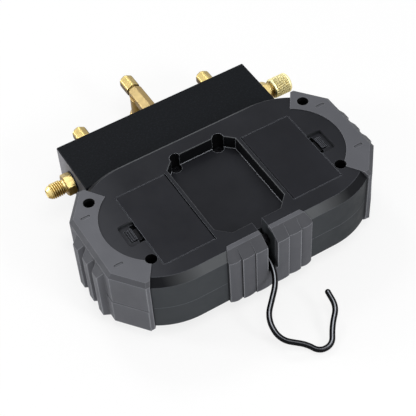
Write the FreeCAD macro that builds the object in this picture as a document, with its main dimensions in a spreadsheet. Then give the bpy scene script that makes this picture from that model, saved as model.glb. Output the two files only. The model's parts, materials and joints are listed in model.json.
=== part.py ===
import FreeCAD, Part
import math
import os

import Sketcher
from FreeCAD import Placement, Rotation, Vector

# Digital manifold gauge, lying face down. X runs along the long side, Y from the hook to the
# brass manifold ports, Z out of the back of the case. Most shapes are drawn in the case frame,
# whose origin is the middle of the back face; each node's placement then moves it to the part
# frame, whose origin is under the middle of the whole object, on the surface it lies on.

doc = FreeCAD.newDocument("manifold_gauge")
sheet = doc.addObject("Spreadsheet::Sheet", "sizes")
sheet_row = [0]
nodes = {}


class Size:
    """A number together with the sheet expression that gives it, if any."""

    def __init__(self, value, text=None):
        self.value = float(value)
        self.text = text

    def written(self):
        return self.text or "(%r)" % self.value

    def joined(self, other, sign, value):
        if self.text is None and other.text is None:
            return Size(value)
        return Size(value, "(%s %s %s)" % (self.written(), sign, other.written()))

    def __add__(self, other):
        other = as_size(other)
        return self.joined(other, "+", self.value + other.value)

    def __sub__(self, other):
        other = as_size(other)
        return self.joined(other, "-", self.value - other.value)

    def __mul__(self, other):
        other = as_size(other)
        return self.joined(other, "*", self.value * other.value)

    def __truediv__(self, other):
        other = as_size(other)
        return self.joined(other, "/", self.value / other.value)

    def __neg__(self):
        return Size(0).joined(self, "-", -self.value)


def as_size(number):
    return number if isinstance(number, Size) else Size(number)


def size(alias, value, note):
    """Enter a driving dimension in the sheet, in millimetres or degrees."""
    sheet_row[0] += 1
    sheet.set("A%d" % sheet_row[0], note)
    sheet.set("B%d" % sheet_row[0], str(value))
    sheet.setAlias("B%d" % sheet_row[0], alias)
    return Size(value, "sizes." + alias)


def sine(angle):
    return Size(math.sin(math.radians(angle.value)), "sin(%s * 1 deg)" % angle.written())


def cosine(angle):
    return Size(math.cos(math.radians(angle.value)), "cos(%s * 1 deg)" % angle.written())


def tangent(angle):
    return Size(math.tan(math.radians(angle.value)), "tan(%s * 1 deg)" % angle.written())


zero = as_size(0)

# Driving dimensions of the case
arc_x = size("case_arc_centre", 51.5, "distance of each end arc's centre from the middle")
half = size("case_half_width", 53.2, "half width of the case over its long walls")
bevel = size("case_bevel", 4.9, "bevel round the back face")
front_bevel = size("front_bevel", 1.6, "bevel round the front edge")
part_line = size("parting_depth", 26.0, "depth of the joint between the two covers")
edge_depth = size("edge_depth", 46.5, "depth of the case at its edge")
depth = size("total_depth", 57.5, "depth from the back face to the display rim")
wall = size("case_wall", 2.6, "wall of both covers")
crown = size("crown_depth", 7.5, "depth at which the cavity widens below the bevel")
crown_inset = size("crown_inset", 5.0, "how much narrower the cavity is inside the bevel")

# Rubber guards round the two ends
guard_mid = size("guard_middle", 0.8, "how far the guards' middle lies towards the ports")
guard_end = size("guard_end", 99.8, "reach of the guard's end wall")
guard_end_half = size("guard_end_half", 26.3, "half length of the guard's end wall")
guard_side = size("guard_side", 46.0, "half width over the guard")
guard_slope = size("guard_slope", 38.2, "turn from the end wall to the corner wall, in degrees")
guard_wall = size("guard_wall", 3.0, "thickness of the guard's walls")
guard_skin = size("guard_skin", 2.2, "recess in the covers that the guard's lips fill")
guard_proud = size("guard_proud", 0.4, "how far the guard stands above the back face")
guard_foot = size("guard_foot", 1.4, "how far the guard stands beyond the front edge")
guard_chamfer = size("guard_chamfer", 2.6, "chamfer round the guard's outer edge")
guard_arc = size("guard_arc_radius", 36.4, "radius of the guard's inner edge")
tip_x = size("guard_tip_x", 71.2, "where the tip's cut leaves the inner edge")
tip_half = size("guard_tip_half", 30.7, "half distance between the tips' inner corners")
tip_slope = size("guard_tip_slope", 0.69, "sideways run of the tip's cut for each step outwards")
guard_flare = size("guard_flare", 0.5, "how far the guard's lower part stands out")
rib_mid = size("rib_middle", -1.2, "how far the middle rib lies towards the ports")
rib_pitch = size("rib_pitch", 13.0, "spacing of the grip ribs")
rib_half = size("rib_half_width", 5.3, "half width of a grip rib at its root")
rib_flat = size("rib_flat", 2.9, "half width of a grip rib's outer face")
rib_proud = size("rib_proud", 4.6, "height of a grip rib")
rib_top = size("rib_top", 3.4, "depth at which the grip ribs start")
mark_x = size("guard_mark_x", 90.0, "small slots in the guards' faces, from the middle")
mark_y = size("guard_mark_y", 22.2, "these slots from the guards' middle line")
mark_long = size("guard_mark_length", 6.6, "length of such a slot")
mark_wide = size("guard_mark_width", 2.2, "width of such a slot")
gap = size("seat_gap", 0.1, "clearance where one fixed piece seats in another")

# Pocket that the hook folds into, and the slot that it swings through
pocket_half = size("pocket_half", 26.2, "half width of the hook pocket")
pocket_near = size("pocket_near", 37.7, "near end of the hook pocket")
pocket_far = size("pocket_far", 37.5, "far end of the hook pocket")
pocket_depth = size("pocket_depth", 10.4, "depth of the hook pocket")
pocket_corner = size("pocket_corner", 8.2, "cut across the pocket's corners")
pocket_round = size("pocket_edge_radius", 0.9, "rounding of the pocket's rim")
slot_half = size("slot_half", 3.7, "half width of the hook slot")
slot_depth = size("slot_depth", 30.5, "depth of the hook slot")
slot_wall = size("slot_wall", 1.8, "wall of the slot's channel")

# Battery bays and doors
door_in = size("door_inner_edge", 29.0, "distance of the door opening from the middle")
door_wide = size("door_width", 37.6, "width of the door opening")
door_near = size("door_near", 36.8, "near end of the door opening")
door_long = size("door_length", 64.3, "length of the door opening")
door_round = size("door_corner", 1.3, "corner radius of the door opening")
door_thick = size("door_thickness", 2.0, "thickness of a battery door")
door_gap = size("door_gap", 0.35, "clearance round a battery door")
bay_step = size("bay_step", 2.3, "ledge that the door rests on")
bay_depth = size("bay_depth", 18.9, "depth of a battery bay")
bay_wall = size("bay_wall", 1.5, "wall of a battery bay")
latch_near = size("latch_near", 13.5, "near end of the finger recess")
latch_long = size("latch_length", 18.3, "length of the finger recess")
latch_wide = size("latch_width", 10.4, "width of the finger recess")
latch_deep = size("latch_depth", 2.0, "depth of the finger recess")
latch_round = size("latch_edge_radius", 0.6, "rounding of the finger recess's rim")
latch_slot = size("latch_slot", 3.2, "gap between the door and its latch")
latch_gap = size("latch_gap", 0.5, "clearance round the latch")
hinge_pin = size("hinge_pin_radius", 0.6, "radius of a door's hinge pins")
hinge_long = size("hinge_pin_length", 1.6, "how far a hinge pin stands out of the door")
tongue_wide = size("tongue_width", 4.2, "width of the latch's grip")
tongue_long = size("tongue_length", 9.4, "length of the latch's grip")
tongue_deep = size("tongue_depth", 4.6, "depth of the latch's spring below the back face")
cell_radius = size("cell_radius", 7.15, "radius of an AA cell")
cell_long = size("cell_length", 49.3, "length of an AA cell without its button")

# Screws
screw_head = size("screw_head_radius", 2.9, "radius of a case screw's head")
screw_shank = size("screw_shank_radius", 1.5, "radius of a case screw")
screw_well = size("screw_well_radius", 3.85, "radius of a screw well in the back")
well_depth = size("screw_well_depth", 14.0, "depth of a screw well")
boss_radius = size("boss_radius", 5.5, "radius of a screw boss")
corner_screw_x = size("corner_screw_x", 82.5, "guard screw from the middle")
corner_screw_y = size("corner_screw_y", 32.6, "guard screw from the case's long axis")
door_screw_x = size("door_screw_x", 70.9, "screw beside the door, from the middle")
door_screw_y = size("door_screw_y", 28.35, "screw beside the door, from the long axis")
pocket_screw_x = size("pocket_screw_x", 16.4, "pocket screw from the middle")
pocket_screw_y = size("pocket_screw_y", 36.0, "pocket screw from the long axis")

# Display side
bezel_arc = size("bezel_arc_centre", 47.0, "distance of the display rim's arc centre")
bezel_half = size("bezel_half_width", 34.0, "half width of the display rim")
rim_wide = size("rim_width", 3.0, "width of the raised display rim")
rim_high = size("rim_height", 1.5, "height of the rim above the display panel")
panel_thick = size("panel_thickness", 1.5, "thickness of the display panel")
window_half = size("window_half", 48.0, "half length of the display opening")
window_near = size("window_near", 27.0, "near edge of the display opening")
window_wide = size("window_width", 36.0, "width of the display opening")
lens_lap = size("lens_lap", 2.0, "overlap of the lens on the panel")
lens_thick = size("lens_thickness", 1.1, "thickness of the lens")
key_y = size("key_row", 20.5, "distance of the key row from the long axis")
key_pitch = size("key_pitch", 20.0, "spacing of the keys")
key_long = size("key_length", 14.0, "length of a key")
key_wide = size("key_width", 9.0, "width of a key")
key_proud = size("key_proud", 1.0, "height of a key above the panel")
key_travel = size("key_travel", 0.8, "travel of a key")
key_gap = size("key_gap", 0.3, "clearance round a key")
key_flange = size("key_flange", 1.2, "flange that holds a key behind the panel")
board_thick = size("board_thickness", 1.6, "thickness of the circuit boards")

# Manifold block
block_half = size("block_half", 75.0, "half length of the manifold block")
block_near = size("block_near", 54.5, "near face of the block from the case's long axis")
block_wide = size("block_width", 44.5, "width of the block")
block_top = size("block_top", 12.0, "depth of the block's back face")
block_thick = size("block_thickness", 28.0, "thickness of the block")
block_edge = size("block_edge", 0.7, "chamfer on the block's edges")
far_port_x = size("far_port_x", 50.6, "distance of the far ports from the middle")
centre_x = size("centre_port_x", 2.0, "distance of the centre port from the middle")
valve_x = size("valve_x", 45.0, "distance of the valves from the middle")
sensor_x = size("sensor_x", 34.0, "distance of the pressure sensors from the middle")
gallery = size("gallery_radius", 2.4, "radius of the gas passages")
sensor_hole = size("sensor_hole_radius", 6.9, "radius of the case's holes for the sensors")
bolt_shank = size("bolt_radius", 2.0, "radius of a screw that holds the block")
bolt_head = size("bolt_head_radius", 3.5, "radius of its head")
bolt_rise = size("bolt_rise", 7.0, "distance of these screws from the ports' middle plane")
bolt_columns = (size("bolt_inner_x", 18.0, "inner block screws from the middle"),
                size("bolt_outer_x", 46.0, "outer block screws from the middle"))

# Flare fittings
port_thread = size("flare_thread_radius", 5.55, "radius over the quarter inch flare thread")
port_shank = size("port_shank_radius", 4.9, "radius of the shank screwed into the block")
shank_long = size("port_shank_length", 8.0, "length of the shank")
washer_thick = size("washer_thickness", 0.8, "thickness of a port washer")
hex_flats = size("hex_across_flats", 14.0, "hexagon across its flats")
hex_long = size("hex_length", 6.0, "length of the hexagon")
stem_flats = size("stem_across_flats", 9.8, "the centre port's long stem across its flats")
neck_long = size("neck_length", 1.5, "undercut behind the thread")
neck_radius = size("neck_radius", 4.6, "radius of the undercut")
thread_long = size("thread_length", 9.3, "length of the flare thread")
flare_long = size("flare_length", 2.5, "length of the flare cone")
flare_tip = size("flare_tip_radius", 3.2, "radius at the flare's tip")
port_bore = size("port_bore_radius", 2.4, "radius of the port's bore")
stem_neck = size("stem_neck_length", 1.9, "length of the centre port's neck")
stem_thread = size("stem_thread_length", 11.4, "length of the centre port's thread")
stem_long = size("stem_length", 29.7, "length of the centre port's stem")
tee_from = size("tee_distance", 25.4, "distance of the side branch along the stem")
tee_drop = size("tee_length", 15.5, "length of the side branch to its thread")
tee_radius = size("tee_radius", 6.3, "radius of the side branch")
tee_thread = size("tee_thread_radius", 7.9, "radius over the three eighths flare thread")
cap_radius = size("cap_radius", 7.3, "radius of the port cap")
cap_long = size("cap_length", 14.5, "length of the port cap")
cap_from = size("cap_from_face", 10.0, "distance of the port cap from the block")
cap_top = size("cap_end_wall", 1.6, "end wall of the port cap")
run_gap = size("running_gap", 0.06, "clearance of a turning or sliding fit")

# Hand valves
knob_radius = size("knob_radius", 18.0, "radius of a handwheel")
knob_thick = size("knob_thickness", 10.2, "thickness of a handwheel")
knob_from = size("knob_from_block", 5.0, "distance of the handwheel from the block")
knob_lobes = 8
bonnet_radius = size("bonnet_radius", 7.0, "radius of the bonnet's thread in the block")
bonnet_deep = size("bonnet_depth", 9.0, "how far the bonnet screws into the block")
bonnet_high = size("bonnet_height", 3.2, "height of the bonnet's hexagon")
valve_stem = size("valve_stem_radius", 3.0, "radius of a valve stem")
valve_deep = size("valve_depth", 17.0, "depth of the valve's bore in the block")

# Hook
wire_radius = size("wire_radius", 1.9, "radius of the hook's wire")
hook_angle = size("hook_angle", 25.5, "slope of the hook below the case's long axis, in degrees")
hook_rise = size("hook_rise", 8.0, "height of the folded hook above its pivot")
stow_depth = size("stow_depth", 5.6, "depth of the folded hook's wire below the back face")
hook_foot_y = size("hook_foot_y", 40.9, "distance of the neck's corner from the long axis")
lobe_left = size("hook_lobe_left", 20.3, "reach of the hook's left lobe")
lobe_right = size("hook_lobe_right", 23.8, "reach of the hook's right lobe")
hook_reach = size("hook_reach", 78.3, "reach of the hook's end lobe along its neck")
barrel_radius = size("barrel_radius", 3.3, "radius of the hook's barrel")
pin_radius = size("hook_pin_radius", 1.25, "radius of the hook's pin")

# Middle guard
mid_guard_half = size("middle_guard_half", 31.0, "half length of the middle guard")
mid_guard_top = size("middle_guard_top", 27.0, "half length of the middle guard's top edge")
mid_guard_edge = size("middle_guard_edge", 45.5, "where the middle guard ends on the back face")
mid_guard_thick = size("middle_guard_thickness", 1.5, "thickness of the middle guard at its ends")
wave_inner_x = size("wave_inner_x", 12.5, "end of the inner grip wave")
wave_outer_x = size("wave_outer_x", 22.0, "end of the middle grip wave")
wave_inner = size("wave_inner_rise", 2.4, "height of the inner grip wave above the guard's ends")
wave_middle = size("wave_middle_rise", 2.0, "height of the middle grip wave")
wave_outer = size("wave_outer_rise", 1.3, "height of the outer grip wave")
wave_fall = size("wave_fall", 0.7, "how much lower a grip wave is at its ends")

# Circuit boards
board_half = size("board_half", 67.0, "half length of the main board")
board_wide = size("board_half_width", 28.0, "half width of the main board")
board_corner = size("board_corner", 4.0, "cut across the main board's corners")
board_high = size("board_depth", 33.0, "depth of the main board's back")
board_inset = size("board_post_inset", 5.0, "distance of the board posts from the board's edges")
keypad_back = size("keypad_board_depth", 46.6, "depth of the keypad board's back")

doc.recompute()

# Places worked out from the sizes
block_mid_y = block_near + block_wide / 2
block_far = block_near + block_wide
block_mid_z = -block_top - block_thick / 2
block_front = -block_top - block_thick
centre_reach = washer_thick + stem_long + stem_neck + stem_thread + flare_long
hook_end = hook_foot_y + hook_reach * cosine(hook_angle) + wire_radius
# The object's box runs from the hook to the centre port, and its middle is the origin.
middle_y = (block_far + centre_reach - hook_end) / 2
origin_y = -middle_y


def bind(thing, prop, amount):
    setattr(thing, prop, amount.value)
    if amount.text:
        thing.setExpression(prop, amount.text)


def place(thing, x, y, z, rotation=None):
    """Put an object at x, y, z of the frame it is drawn in."""
    spot = [as_size(v) for v in (x, y, z)]
    thing.Placement = Placement(Vector(*[v.value for v in spot]), rotation or Rotation())
    for letter, amount in zip("xyz", spot):
        if amount.text:
            thing.setExpression(".Placement.Base." + letter, amount.text)


def finish(thing, name, x=zero, y=zero, z=zero, rotation=None):
    """Name a node and move it from the case frame to the part frame."""
    thing.Label = name
    place(thing, x, as_size(y) + origin_y, as_size(z) + depth, rotation)
    nodes[name] = thing
    return thing


def new_body(name):
    body = doc.addObject("PartDesign::Body", name + "_body")
    return body


def new_sketch(body, plane, height):
    """A sketch on one of the body's own planes, moved along the plane's normal."""
    sketch = body.newObject("Sketcher::SketchObject", "sketch")
    for feature in body.Origin.OriginFeatures:
        if feature.Role == plane:
            sketch.AttachmentSupport = (feature, "")
    sketch.MapMode = "FlatFace"
    height = as_size(height)
    sketch.AttachmentOffset = Placement(Vector(0, 0, height.value), Rotation())
    if height.text:
        sketch.setExpression("AttachmentOffset.Base.z", height.text)
    return sketch


def constrain(sketch, rules):
    """Add constraints together, and bind those that carry an amount."""
    first = sketch.ConstraintCount
    made = []
    for rule in rules:
        if isinstance(rule[-1], Size):
            made.append(Sketcher.Constraint(*rule[:-1], rule[-1].value))
        else:
            made.append(Sketcher.Constraint(*rule))
    sketch.addConstraint(made)
    for i, rule in enumerate(rules):
        if isinstance(rule[-1], Size) and rule[-1].text:
            sketch.setExpression("Constraints[%d]" % (first + i), rule[-1].text)


def outline(points, arcs=None):
    """Closed outline. arcs maps an edge's number to its centre's x and y and its sense."""
    arcs = arcs or {}
    points = [(as_size(x), as_size(y)) for x, y in points]

    def draw(sketch):
        first = sketch.GeometryCount
        shapes = []
        ends = []
        for i, (x, y) in enumerate(points):
            nx, ny = points[(i + 1) % len(points)]
            start = Vector(x.value, y.value, 0)
            stop = Vector(nx.value, ny.value, 0)
            if i in arcs:
                centre_x, centre_y, forward = arcs[i]
                centre = Vector(as_size(centre_x).value, as_size(centre_y).value, 0)
                circle = Part.Circle(centre, Vector(0, 0, 1), (start - centre).Length)
                a, b = (start, stop) if forward else (stop, start)
                low = math.atan2(a.y - centre.y, a.x - centre.x)
                high = math.atan2(b.y - centre.y, b.x - centre.x)
                if high <= low:
                    high += 2 * math.pi
                shapes.append(Part.ArcOfCircle(circle, low, high))
                ends.append((1, 2) if forward else (2, 1))
            else:
                shapes.append(Part.LineSegment(start, stop))
                ends.append((1, 2))
        sketch.addGeometry(shapes, False)
        rules = []
        for i, (x, y) in enumerate(points):
            j = (i + 1) % len(points)
            rules.append(("Coincident", first + i, ends[i][1], first + j, ends[j][0]))
            rules.append(("DistanceX", -1, 1, first + i, ends[i][0], x))
            rules.append(("DistanceY", -1, 1, first + i, ends[i][0], y))
        for i, (centre_x, _, _) in arcs.items():
            rules.append(("DistanceX", -1, 1, first + i, 3, as_size(centre_x)))
        constrain(sketch, rules)
    return draw


def rectangle(x0, x1, y0, y1):
    return outline([(x0, y0), (x1, y0), (x1, y1), (x0, y1)])


def rounded(x0, x1, y0, y1, corner):
    """Rectangle with round corners."""
    left, right = x0 + corner, x1 - corner
    low, high = y0 + corner, y1 - corner
    return outline(
        [(left, y0), (right, y0), (x1, low), (x1, high), (right, y1), (left, y1), (x0, high),
         (x0, low)],
        {1: (right, low, True), 3: (right, high, True), 5: (left, high, True),
         7: (left, low, True)})


def circle_at(x, y, radius):
    x, y, radius = as_size(x), as_size(y), as_size(radius)

    def draw(sketch):
        index = sketch.addGeometry(
            Part.Circle(Vector(x.value, y.value, 0), Vector(0, 0, 1), radius.value), False)
        constrain(sketch, [("DistanceX", -1, 1, index, 3, x), ("DistanceY", -1, 1, index, 3, y),
                           ("Radius", index, radius)])
    return draw


def stadium(centre, radius):
    centre, radius = as_size(centre), as_size(radius)
    return outline(
        [(-centre, -radius), (centre, -radius), (centre, radius), (-centre, radius)],
        {1: (centre, zero, True), 3: (-centre, zero, True)})


def hexagon(flats, turned=0):
    """Hexagon about the origin, turned from where its flats face along the sketch's Y axis."""
    corner = flats / (2 * math.cos(math.radians(30)))
    turns = [math.radians(60 * k + turned) for k in range(6)]
    return outline([(corner * round(math.cos(a), 9), corner * round(math.sin(a), 9))
                    for a in turns])


def add(body, shapes, low, high, plane="XY_Plane"):
    """Pad outlines between two heights of the plane's normal."""
    sketch = new_sketch(body, plane, low)
    for draw in shapes:
        draw(sketch)
    feature = body.newObject("PartDesign::Pad", "pad")
    feature.Profile = sketch
    feature.Refine = False
    bind(feature, "Length", as_size(high) - low)
    body.Tip = feature
    return feature


def cut(body, shapes, low, high, plane="XY_Plane"):
    """Pocket outlines between two heights of the plane's normal."""
    sketch = new_sketch(body, plane, high)
    for draw in shapes:
        draw(sketch)
    feature = body.newObject("PartDesign::Pocket", "pocket")
    feature.Profile = sketch
    feature.Refine = False
    bind(feature, "Length", as_size(high) - low)
    body.Tip = feature
    return feature


def turn(body, points):
    """Revolve a closed outline of radius and height about the body's Z axis."""
    sketch = new_sketch(body, "XZ_Plane", zero)
    outline(points)(sketch)
    feature = body.newObject("PartDesign::Revolution", "revolution")
    feature.Profile = sketch
    feature.ReferenceAxis = (sketch, ["V_Axis"])
    feature.Angle = 360
    feature.Refine = False
    body.Tip = feature
    return feature


def turn_off(body, points):
    """Cut a revolved outline of radius and height out of the body."""
    sketch = new_sketch(body, "XZ_Plane", zero)
    outline(points)(sketch)
    feature = body.newObject("PartDesign::Groove", "groove")
    feature.Profile = sketch
    feature.ReferenceAxis = (sketch, ["V_Axis"])
    feature.Angle = 360
    feature.Refine = False
    body.Tip = feature
    return feature


def add_loft(body, sections, plane):
    """Smooth loft through outlines, each at its own height of the plane's normal."""
    sketches = []
    for draw, height in sections:
        sketch = new_sketch(body, plane, height)
        draw(sketch)
        sketches.append(sketch)
    feature = body.newObject("PartDesign::AdditiveLoft", "loft")
    feature.Profile = sketches[0]
    feature.Sections = sketches[1:]
    feature.Ruled = False
    feature.Refine = False
    body.Tip = feature
    return feature


def dress(body, kind, amount, wanted):
    """Chamfer or fillet the edges of the body's last feature that are wanted."""
    doc.recompute()
    base = body.Tip
    names = ["Edge%d" % (i + 1) for i, edge in enumerate(base.Shape.Edges) if wanted(edge)]
    feature = body.newObject("PartDesign::" + kind, kind.lower())
    feature.Base = (base, names)
    feature.Refine = False
    bind(feature, "Size" if kind == "Chamfer" else "Radius", as_size(amount))
    body.Tip = feature
    return feature


def level(height):
    """Picks edges that lie flat at a height."""
    height = as_size(height).value

    def wanted(edge):
        box = edge.BoundBox
        return abs(box.ZMin - height) < 0.01 and abs(box.ZMax - height) < 0.01
    return wanted


def group(name, shapes):
    """Separate solids that share a node, already in the part frame."""
    feature = doc.addObject("Part::Feature", name + "_group")
    feature.Shape = Part.makeCompound(shapes)
    feature.Label = name
    nodes[name] = feature
    return feature


def copies(shape, moves):
    """Copies of a shape drawn at the origin, placed in the case frame."""
    made = []
    for x, y, z, rotation in moves:
        piece = shape.copy()
        spot = [as_size(v).value for v in (x, y, z)]
        base = Vector(spot[0], spot[1] + origin_y.value, spot[2] + depth.value)
        piece.Placement = Placement(base, rotation or Rotation())
        made.append(piece)
    return made


# Outlines that the covers and the guards share
def corner_shift(turn_angle, inset):
    """How far a wall's end moves along the wall when the outline is inset."""
    return inset * tangent(turn_angle / 2)


def guard_octagon(side, inset, inner_x=None):
    """Half of the end guard's octagon, from one long side round the end to the other."""
    corner_y = guard_end_half - corner_shift(guard_slope, inset)
    side_y = guard_side - inset
    end_x = guard_end - inset
    side_x = end_x - (side_y - corner_y) * tangent(guard_slope)
    points = [(end_x, guard_mid - corner_y), (end_x, guard_mid + corner_y),
              (side_x, guard_mid + side_y)]
    points.insert(0, (side_x, guard_mid - side_y))
    if inner_x is not None:
        points.append((inner_x, guard_mid + side_y))
        points.insert(0, (inner_x, guard_mid - side_y))
    return [(x * side, y) for x, y in points]


def tip_point(side, out, near):
    """Point on a guard tip's cut, a distance out from the inner corner."""
    sign = -1 if near else 1
    return ((tip_x + tip_slope * out) * side, guard_mid + (tip_half + out) * sign)


def ends_beyond_core(side):
    """Region outside the covers' narrowed ends, between the two tips' cuts."""
    far = as_size(40)
    core = guard_octagon(side, guard_wall)
    meet = guard_side - guard_wall - tip_half
    outer_x = (guard_end + far) * side
    top_x, top_y = tip_point(side, far, False)
    low_x, low_y = tip_point(side, far, True)
    return outline([tip_point(side, meet, True)] + core + [tip_point(side, meet, False),
                   (top_x, top_y), (outer_x, top_y), (outer_x, low_y), (low_x, low_y)])


def lip_region(side):
    """Region of the cover faces that the guard's lips cover."""
    far = as_size(40)
    outer_x = (guard_end + far) * side
    top_x, top_y = tip_point(side, far, False)
    low_x, low_y = tip_point(side, far, True)
    return outline([tip_point(side, zero, True), (low_x, low_y), (outer_x, low_y),
                    (outer_x, top_y), (top_x, top_y), tip_point(side, zero, False)],
                   {5: (arc_x * side, guard_mid, side < 0)})


def cavity(inset):
    """Many-sided outline of the space inside the covers."""
    inset = as_size(inset)
    inner_x = guard_end - guard_wall - wall
    corners = [(inner_x - inset, guard_end_half - 2.8 - inset * 0.35),
               (inner_x - 12.6 - inset * 0.65, half - wall - 11.1 - inset * 0.75),
               (arc_x + 14.5 - inset * 0.3, half - wall - 2.3 - inset),
               (arc_x - 0.5, half - wall - inset)]
    right = corners + [(-x, y) for x, y in reversed(corners)]
    left = [(-x, -y) for x, y in corners] + [(x, -y) for x, y in reversed(corners)]
    return outline(right + left)


screw_spots = [(corner_screw_x, corner_screw_y), (door_screw_x, -door_screw_y),
               (pocket_screw_x, pocket_screw_y)]
screw_places = [(x * side, y) for side in (-1, 1) for x, y in screw_spots]
sides = (("left", -1), ("right", 1))


def both(make, *amounts):
    """The same outline on the right and, mirrored, on the left."""
    x0, x1 = as_size(amounts[0]), as_size(amounts[1])
    return [make(x0, x1, *amounts[2:]), make(-x1, -x0, *amounts[2:])]


def dots(places, radius):
    return [circle_at(x, y, radius) for x, y in places]


# Rear cover
door_far = door_long - door_near
door_out = door_in + door_wide
channel = slot_half + slot_wall
hinge_x = door_in + door_gap + door_thick / 2
hinge_z = -door_thick / 2
latch_mid = -latch_near + latch_long / 2
latch_out = door_out + latch_slot + tongue_wide + latch_gap
latch_floor = tongue_deep + latch_gap
rear = new_body("rear_cover")
add(rear, [stadium(arc_x, half)], -part_line, zero)
dress(rear, "Chamfer", bevel, level(zero))
cut(rear, [ends_beyond_core(side) for _, side in sides], -part_line - 1, 1)
cut(rear, [lip_region(side) for _, side in sides] + [outline([
    (-mid_guard_top, -mid_guard_edge), (-mid_guard_half, -half), (-mid_guard_half, -half - 9),
    (mid_guard_half, -half - 9), (mid_guard_half, -half), (mid_guard_top, -mid_guard_edge)])],
    -guard_skin, 1)
cut(rear, [cavity(crown_inset)], -part_line - 1, -wall)
cut(rear, [cavity(zero)], -part_line - 1, -crown)
add(rear, both(rectangle, door_in - 1.5, door_out + 5, -door_near + bay_step - bay_wall,
               door_far - bay_step + bay_wall), -bay_depth - bay_wall, -wall + 0.5)
add(rear, both(rectangle, door_out + 3, latch_out + 1.5, latch_mid - tongue_long / 2 - 3,
               latch_mid + tongue_long / 2 + 3), -latch_floor - 1.5, -wall + 0.5)
add(rear, [rectangle(-pocket_half - 2, pocket_half + 2, -pocket_near - slot_wall,
                     pocket_far + slot_wall)], -pocket_depth - 2, -wall + 0.5)
add(rear, [rectangle(-channel, channel, -half + wall - 1.5, -pocket_near + slot_wall)],
    -part_line, -crown)
add(rear, [rectangle(-channel, channel, -half + wall + crown_inset - 1, -pocket_near + 0.5)],
    -crown - 0.5, -wall + 0.3)
add(rear, dots(screw_places, boss_radius), -part_line, -wall)
cut(rear, [outline([
    (-pocket_half, -pocket_near + pocket_corner), (-pocket_half + pocket_corner, -pocket_near),
    (pocket_half - pocket_corner, -pocket_near), (pocket_half, -pocket_near + pocket_corner),
    (pocket_half, pocket_far - pocket_corner), (pocket_half - pocket_corner, pocket_far),
    (-pocket_half + pocket_corner, pocket_far), (-pocket_half, pocket_far - pocket_corner)])],
    -pocket_depth, 1)


def pocket_rim(edge):
    box = edge.BoundBox
    return level(zero)(edge) and max(abs(box.XMin), abs(box.XMax)) < pocket_half.value + 0.01


dress(rear, "Fillet", pocket_round, pocket_rim)
cut(rear, [rectangle(-slot_half, slot_half, -half - 5, -pocket_near + 0.5)], -part_line - 1, 1)
cut(rear, both(rounded, door_in, door_out, -door_near, door_far, door_round),
    -door_thick - 0.3, 1)
cut(rear, both(rectangle, door_in, hinge_x + door_thick, -door_near, door_far),
    -door_thick - 0.3, 1)
cut(rear, both(rectangle, door_in + bay_step, door_out - bay_step, -door_near + bay_step,
               door_far - bay_step), -bay_depth, 1)
cut(rear, dots([(hinge_x, hinge_z), (-hinge_x, hinge_z)], hinge_pin + run_gap),
    -door_far - hinge_long, door_near + hinge_long, "XZ_Plane")
cut(rear, both(rounded, door_out - 0.5, door_out + latch_wide, -latch_near,
               latch_long - latch_near, as_size(1.8)), -latch_deep, 1)


def recess_rim(edge):
    box = edge.BoundBox
    return level(zero)(edge) and min(abs(box.XMin), abs(box.XMax)) > door_out.value + 4 and \
        max(abs(box.XMin), abs(box.XMax)) < (door_out + latch_wide).value + 0.01 and \
        box.YMin > (latch_mid - latch_long / 2).value - 0.01


dress(rear, "Fillet", latch_round, recess_rim)
cut(rear, both(rectangle, door_out - 2, door_out + latch_slot, latch_mid - latch_long / 2 + 1.4,
               latch_mid + latch_long / 2 - 1.4), -latch_floor, 1)
cut(rear, both(rectangle, door_out + latch_slot - 1, latch_out,
               latch_mid - tongue_long / 2 - latch_gap, latch_mid + tongue_long / 2 + latch_gap),
    -latch_floor, 1)
cut(rear, dots(screw_places, screw_well), -well_depth, 1)
cut(rear, dots(screw_places, screw_shank + 0.2), -part_line - 1, -10)
pivot_y = -hook_foot_y - hook_rise * sine(hook_angle)
pivot_z = -stow_depth - hook_rise
cut(rear, [circle_at(pivot_y, pivot_z, pin_radius)], -channel + 0.6, channel - 0.6, "YZ_Plane")
sensor_spots = [(sensor_x * side, block_mid_z) for side in (-1, 1)]
bolt_rear = [(x * side, block_mid_z + bolt_rise) for side in (-1, 1) for x in bolt_columns]
bolt_front = [(x * side, block_mid_z - bolt_rise) for side in (-1, 1) for x in bolt_columns]
far_wall = (-half - 2, -half + wall + 2, "XZ_Plane")
cut(rear, dots(sensor_spots, sensor_hole) + dots(bolt_rear, bolt_shank + 0.2), *far_wall)
finish(rear, "rear_cover")


# Front cover with the display side
panel_face = -depth + rim_high
panel_back = panel_face + panel_thick
keys_x = [key_pitch * (i - 2.5) for i in range(6)]
window_far = -window_near + window_wide
front_wall = -edge_depth + 4.4
board_face = -board_high - board_thick
post_x = board_half - board_inset
post_y = board_wide - board_inset
keypad_face = -keypad_back - board_thick
front = new_body("front_cover")
add(front, [stadium(arc_x, half)], -edge_depth, -part_line)
dress(front, "Chamfer", front_bevel, level(-edge_depth))
cut(front, [ends_beyond_core(side) for _, side in sides], -edge_depth - 1, -part_line + 1)
cut(front, [lip_region(side) for _, side in sides], -edge_depth - 1, -edge_depth + 2)
add(front, [stadium(bezel_arc, bezel_half)], -depth, -edge_depth + 1)
dress(front, "Chamfer", as_size(0.8), level(-depth))
cut(front, [stadium(bezel_arc, bezel_half - rim_wide)], -depth - 1, panel_face)
cut(front, [cavity(zero)], front_wall, -part_line + 1)
cut(front, [stadium(bezel_arc, bezel_half - wall)], panel_back, front_wall + 1)
add(front, [rectangle(-channel, channel, -half + 1, -pocket_near + slot_wall)],
    -slot_depth - slot_wall, -part_line)
add(front, dots(screw_places, as_size(4.5)), front_wall - 0.5, -part_line)
posts = [(post_x * i, post_y * j) for i in (-1, 1) for j in (-1, 1)]
add(front, dots(posts, as_size(3)), panel_back - 0.5, board_face)
keypad_posts = [(key_pitch * i, key_y) for i in (-2, 0, 2)]
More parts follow.
